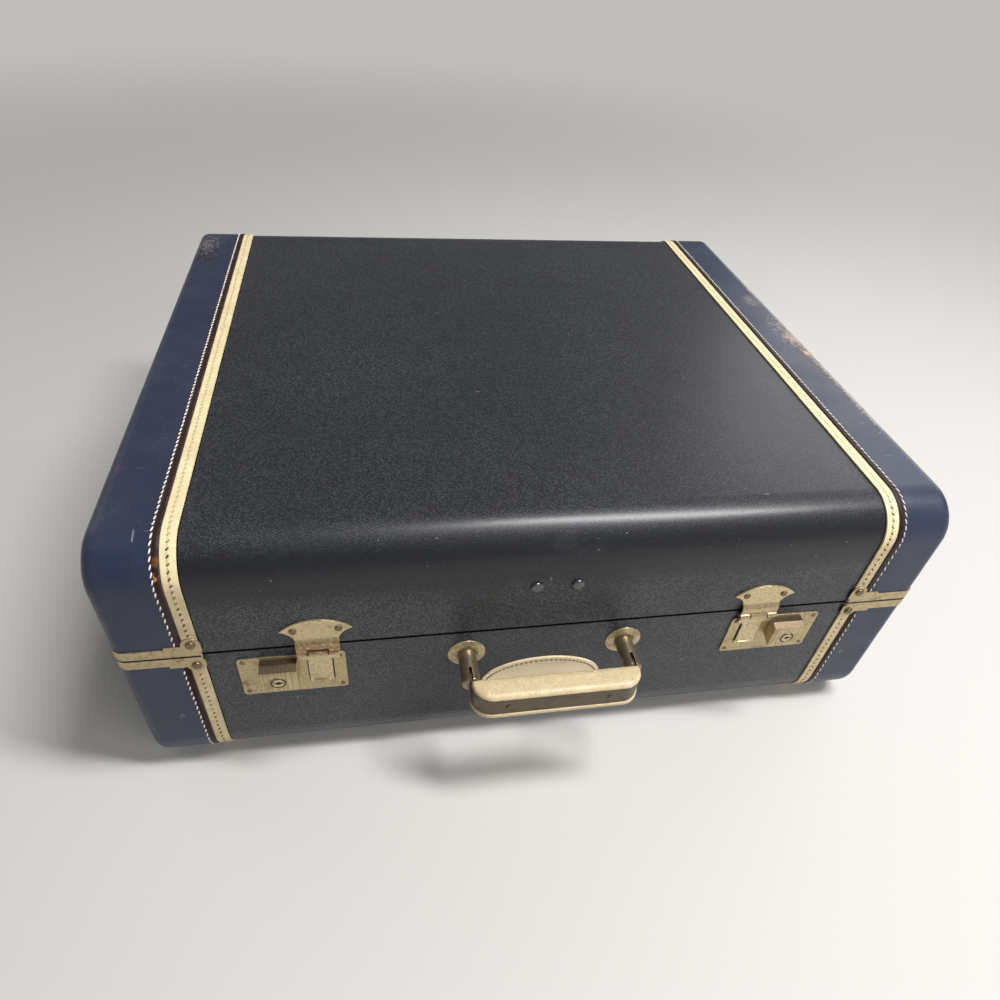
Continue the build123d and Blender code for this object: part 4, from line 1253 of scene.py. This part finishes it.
@dataclass
class LidPocket:
    """The gathered cloth pocket in the lid, sewn down on three sides, with an elastic mouth.

    Sizes are in millimetres. The hem is two rows of stitches, hem_spread either side of the
    elastic, which lies hem_from_mouth from the edge of the mouth.
    """

    half_width: float = 199.0
    mouth_y: float = -2.5
    seam_y: float = 205.5
    lining_z: float = 201.0
    belly: float = 8.5
    side_slope: float = 34.0
    seam_slope: float = 60.0
    neck: float = 0.55
    neck_width: float = 7.0
    mouth_gather: float = 45.0
    seam_gather: float = 22.0
    gathers: float = 1.25
    pleat: float = 10.5
    thickness: float = 0.45
    columns: int = 220
    rows: int = 60
    hem_from_mouth: float = 12.0
    hem_spread: float = 3.5
    hem_pitch: float = 3.4
    hem_inset: float = 6.0
    hem_size: Spot = (2.4, 0.7, 0.7)

    def _drop(self, x: float, y: float) -> float:
        """Shapes the cloth: a slack belly, a neck at the elastic, and pleats.

        Args:
            x: The place across, in millimetres.
            y: The place in the frame from the mouth towards the seam, in millimetres.

        Returns:
            How far the cloth hangs below the lining, in millimetres.
        """

        def wave(wide: float, long: float, seed: float) -> float:
            """Slow noise, of a size across and a size along the cloth."""
            return noise.noise(Vector((x / wide, y / long, seed)))

        from_side = self.half_width - abs(x)
        from_seam = self.seam_y - y
        from_mouth = y - self.mouth_y
        body = eased(from_side / self.side_slope) * eased(from_seam / self.seam_slope)
        from_hem = (from_mouth - self.hem_from_mouth) / self.neck_width
        neck = 1.0 - self.neck * math.exp(-from_hem ** 2)
        near_hem = math.exp(-from_mouth / self.mouth_gather)
        near_seam = math.exp(-from_seam / self.seam_gather)
        wander = 7.0 * wave(38.0, 190.0, 0.3) + 1.6 * wave(11.0, 120.0, 4.0)
        pleats = math.sin(2 * math.pi * x / self.pleat + wander)
        uneven = 0.75 + 0.9 * wave(14.0, 85.0, 9.0)
        ripple = self.gathers * (0.10 + 1.05 * near_hem + 0.40 * near_seam) * pleats * uneven
        slack = 0.8 * wave(60.0, 50.0, 7.0)
        held = eased(from_side / 8.0)
        return 1.5 * held + (self.belly * body + slack * body) * neck + ripple * held

    def _hem(self) -> Object:
        """Makes the two rows of stitches along the mouth.

        Returns:
            The stitches, riding on the lid.
        """
        places = []
        for row in (self.hem_from_mouth - self.hem_spread, self.hem_from_mouth + self.hem_spread):
            y = self.mouth_y + row
            for k in range(int(2 * (self.half_width - self.hem_inset) / self.hem_pitch)):
                x = -self.half_width + self.hem_inset + self.hem_pitch * (k + 0.5)
                fall = self._drop(x, y) + 0.5 * self.hem_size[2]
                lean = math.atan2(self._drop(x + 0.5, y) - self._drop(x - 0.5, y), 1.0)
                spot = Vector((x * MM, y * MM, (self.lining_z - fall) * MM))
                places.append(Matrix.Translation(spot) @ Matrix.Rotation(lean, 4, "Y"))
        stitches = repeat(grain_of_thread("hem_stitch_unit", self.hem_size), places)
        piece = finish_mesh(stitches, "pocket_hem_stitches", material("brown_thread"))
        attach(piece, Half.LID.value)
        return piece

    def build(self) -> Iterator[Object]:
        """Makes the pocket and its hem.

        Yields:
            The cloth and its stitches, riding on the lid.
        """
        width, length = 2 * self.half_width, self.seam_y - self.mouth_y
        middle = Vector((0.0, (self.seam_y + self.mouth_y) / 2 * MM, self.lining_z * MM))
        bm = bmesh.new()
        bmesh.ops.create_grid(bm, x_segments=self.columns, y_segments=self.rows, size=0.5)
        bmesh.ops.scale(bm, vec=(width * MM, length * MM, 1.0), verts=bm.verts)
        bmesh.ops.translate(bm, vec=middle, verts=bm.verts)
        for vert in bm.verts:
            vert.co.z -= self._drop(vert.co.x / MM, vert.co.y / MM) * MM
        area = sum(face.calc_area() for face in bm.faces)
        log.info("pocket cloth area %.4f m2", area)
        piece = finish_mesh(bm, "gathered_pocket", material("lining_cloth"))
        wall = piece.modifiers.new("cloth", "SOLIDIFY")
        wall.thickness = self.thickness * MM
        wall.offset = 0.0
        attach(piece, Half.LID.value)
        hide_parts("lid_pocket")
        rows = self._hem()
        yield from (piece, rows)


def halves(*kinds: str) -> tuple[str, ...]:
    """The names of nodes that the body and the lid each have."""
    return tuple(f"{half}_{kind}" for kind in kinds for half in ("body", "lid"))


def pairs(*kinds: str) -> tuple[str, ...]:
    """The names of nodes that there are a left and a right one of."""
    return tuple(f"{side}_{kind}" for kind in kinds for side in ("left", "right"))


CAD_FINISHES: dict[str, tuple[str, ...]] = {
    "black_canvas": halves("canvas"),
    "navy_leather": pairs("body_cap", "lid_cap"),
    "cream_welt": halves("welts"),
    "fibreboard": halves("shell"),
    "frame_wood": halves("frame"),
    "lining_cloth": (*halves("lining"), "lid_pocket"),
    "worn_brass": halves("guards") + pairs("lock_plate", "lock_case"),
    "fitting_brass": (
        "hinge_body_leaves", "hinge_lid_leaves", "hinge_pins", *pairs("slide_bolt", "lock_spring")
    ),
    "creased_brass": (*pairs("hasp_plate", "hasp_tongue"), "hasp_pins"),
    "brushed_brass": pairs("slide_button"),
    "keyed_brass": pairs("key_cylinder"),
    "worn_post": ("handle_posts",),
    "dished_brass": ("handle_washers",),
    "dark_bronze": (
        "handle_pins", "handle_band", "handle_rivets", "handle_backplate", *halves("feet")
    ),
    "browned_rivet": (*halves("rivets"), "hasp_rivets", "lock_nails"),
    "blackened_stud": ("lid_front_rivets",),
    "plated_steel": (
        "stay_body_studs", "stay_lid_studs", *pairs("stay_lower_arm", "stay_upper_arm")
    ),
    "cream_grip": ("grip_core", "grip_top", "grip_bottom"),
    "tan_patch": ("handle_patch",),
}


@dataclass(frozen=True)
class Lamp:
    """A soft rectangular lamp that faces a target."""

    name: str
    place: Spot
    target: Spot
    size: tuple[float, float]
    power: float
    glossy: bool = True

    def build(self) -> None:
        """Hangs the lamp."""
        data = bpy.data.lights.new(self.name, "AREA")
        data.shape = "RECTANGLE"
        data.size, data.size_y = self.size
        data.energy = self.power
        lamp = bpy.data.objects.new(self.name, data)
        lamp.location = self.place
        ahead = Vector(self.target) - Vector(self.place)
        lamp.rotation_euler = ahead.to_track_quat("-Z", "Y").to_euler()
        lamp.visible_glossy = self.glossy
        linked(lamp)


@dataclass
class Studio:
    """The floor, the backdrop, the lights and the camera of the photograph's view."""

    eye: Spot = (-0.10677, -0.51207, 0.48603)
    yaw: float = 0.228
    pitch: float = 0.717
    roll: float = 0.102
    focal_share: float = 0.70048
    sensor: float = 36.0
    floor_reach: float = 40.0
    backdrop: Colour = (0.53, 0.515, 0.49)
    backdrop_from: float = 0.75
    backdrop_full: float = 2.6
    world: Colour = (0.88, 0.88, 0.89)
    world_strength: float = 0.25
    lamps: tuple[Lamp, ...] = (
        Lamp("ceiling", (0.60, -0.37, 1.70), (0.0, -0.1, 0.1), (0.22, 0.85), 39.0),
        Lamp("window", (-1.6, 1.2, 1.5), (0.0, 0.0, 0.1), (1.2, 1.2), 4.0),
        Lamp("wall", (2.4, 1.76, 1.2), (0.0, 0.0, 0.15), (1.9, 1.9), 27.0),
        Lamp("room", (1.3, -1.7, 0.8), (0.0, -0.1, 0.1), (1.4, 1.4), 29.0, glossy=False),
    )

    def build(self) -> None:
        """Sets up the stage."""
        self._camera()
        self._floor()
        self._world()
        for lamp in self.lamps:
            lamp.build()
        bpy.context.scene.view_settings.view_transform = "Standard"

    def _camera(self) -> None:
        """The camera, at the photograph's place and angle."""
        data = bpy.data.cameras.new("camera")
        data.sensor_width = self.sensor
        data.lens = self.sensor * self.focal_share
        data.clip_start = 0.01
        camera = bpy.data.objects.new("camera", data)
        yawed = Matrix.Rotation(-self.yaw, 4, "Z")
        pitched = Matrix.Rotation(QUARTER - self.pitch, 4, "X")
        turn = yawed @ pitched @ Matrix.Rotation(self.roll, 4, "Z")
        camera.matrix_world = Matrix.Translation(Vector(self.eye) + Vector((0, CENTRE, 0))) @ turn
        bpy.context.scene.camera = linked(camera)

    def _floor(self) -> None:
        """A plain pale floor, which turns into the backdrop far away."""
        coat = Finish("pale_floor", (0.52, 0.508, 0.485), 0.75).start()
        path = coat.node("ShaderNodeLightPath").outputs
        bounced = coat.math("MAXIMUM", path["Is Glossy Ray"], path["Is Transmission Ray"])
        seen = coat.math("MAXIMUM", path["Is Camera Ray"], bounced)
        away = coat.vector("LENGTH", coat.place, (0.0, 0.0, 0.0), 1)
        far = coat.times(coat.window(away, self.backdrop_from, self.backdrop_full), seen)
        glow = {"Color": (*self.backdrop, 1.0), "Strength": 1.0}
        backdrop = coat.node("ShaderNodeEmission", glow).outputs[0]
        mixed = coat.node("ShaderNodeMixShader", {0: far, 1: coat.shader.outputs[0], 2: backdrop})
        coat.feed(coat.tree.nodes["Material Output"], "Surface", mixed.outputs[0])
        bm = bmesh.new()
        bmesh.ops.create_grid(bm, x_segments=1, y_segments=1, size=self.floor_reach)
        floor = finish_mesh(bm, "floor", coat.material, smooth=False)

    def _world(self) -> None:
        """An even pale world."""
        world = bpy.data.worlds.new("studio")
        bpy.context.scene.world = world
        world.use_nodes = True
        background = world.node_tree.nodes["Background"]
        background.inputs["Color"].default_value = (*self.world, 1.0)
        background.inputs["Strength"].default_value = self.world_strength


def main() -> None:
    """Builds the scene."""
    logging.basicConfig(level=logging.INFO, format="%(message)s")
    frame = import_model()
    Studio().build()
    for finish, nodes in CAD_FINISHES.items():
        for node in nodes:
            dress(frame["nodes"][node], finish)
        log.info("%s: %d nodes", finish, len(nodes))
    groups = (
        *STITCH_ROWS,
        Binding(),
        PatchStitching(),
        GripPad(frame, "grip_top", "grip_upper_pad", 1),
        GripPad(frame, "grip_bottom", "grip_lower_pad", -1, spread=1.3),
        LidPocket(),
    )
    for group in groups:
        for piece in group.build():
            log.info("%s: %d faces", piece.name, len(piece.data.polygons))


if __name__ == "__main__":
    main()
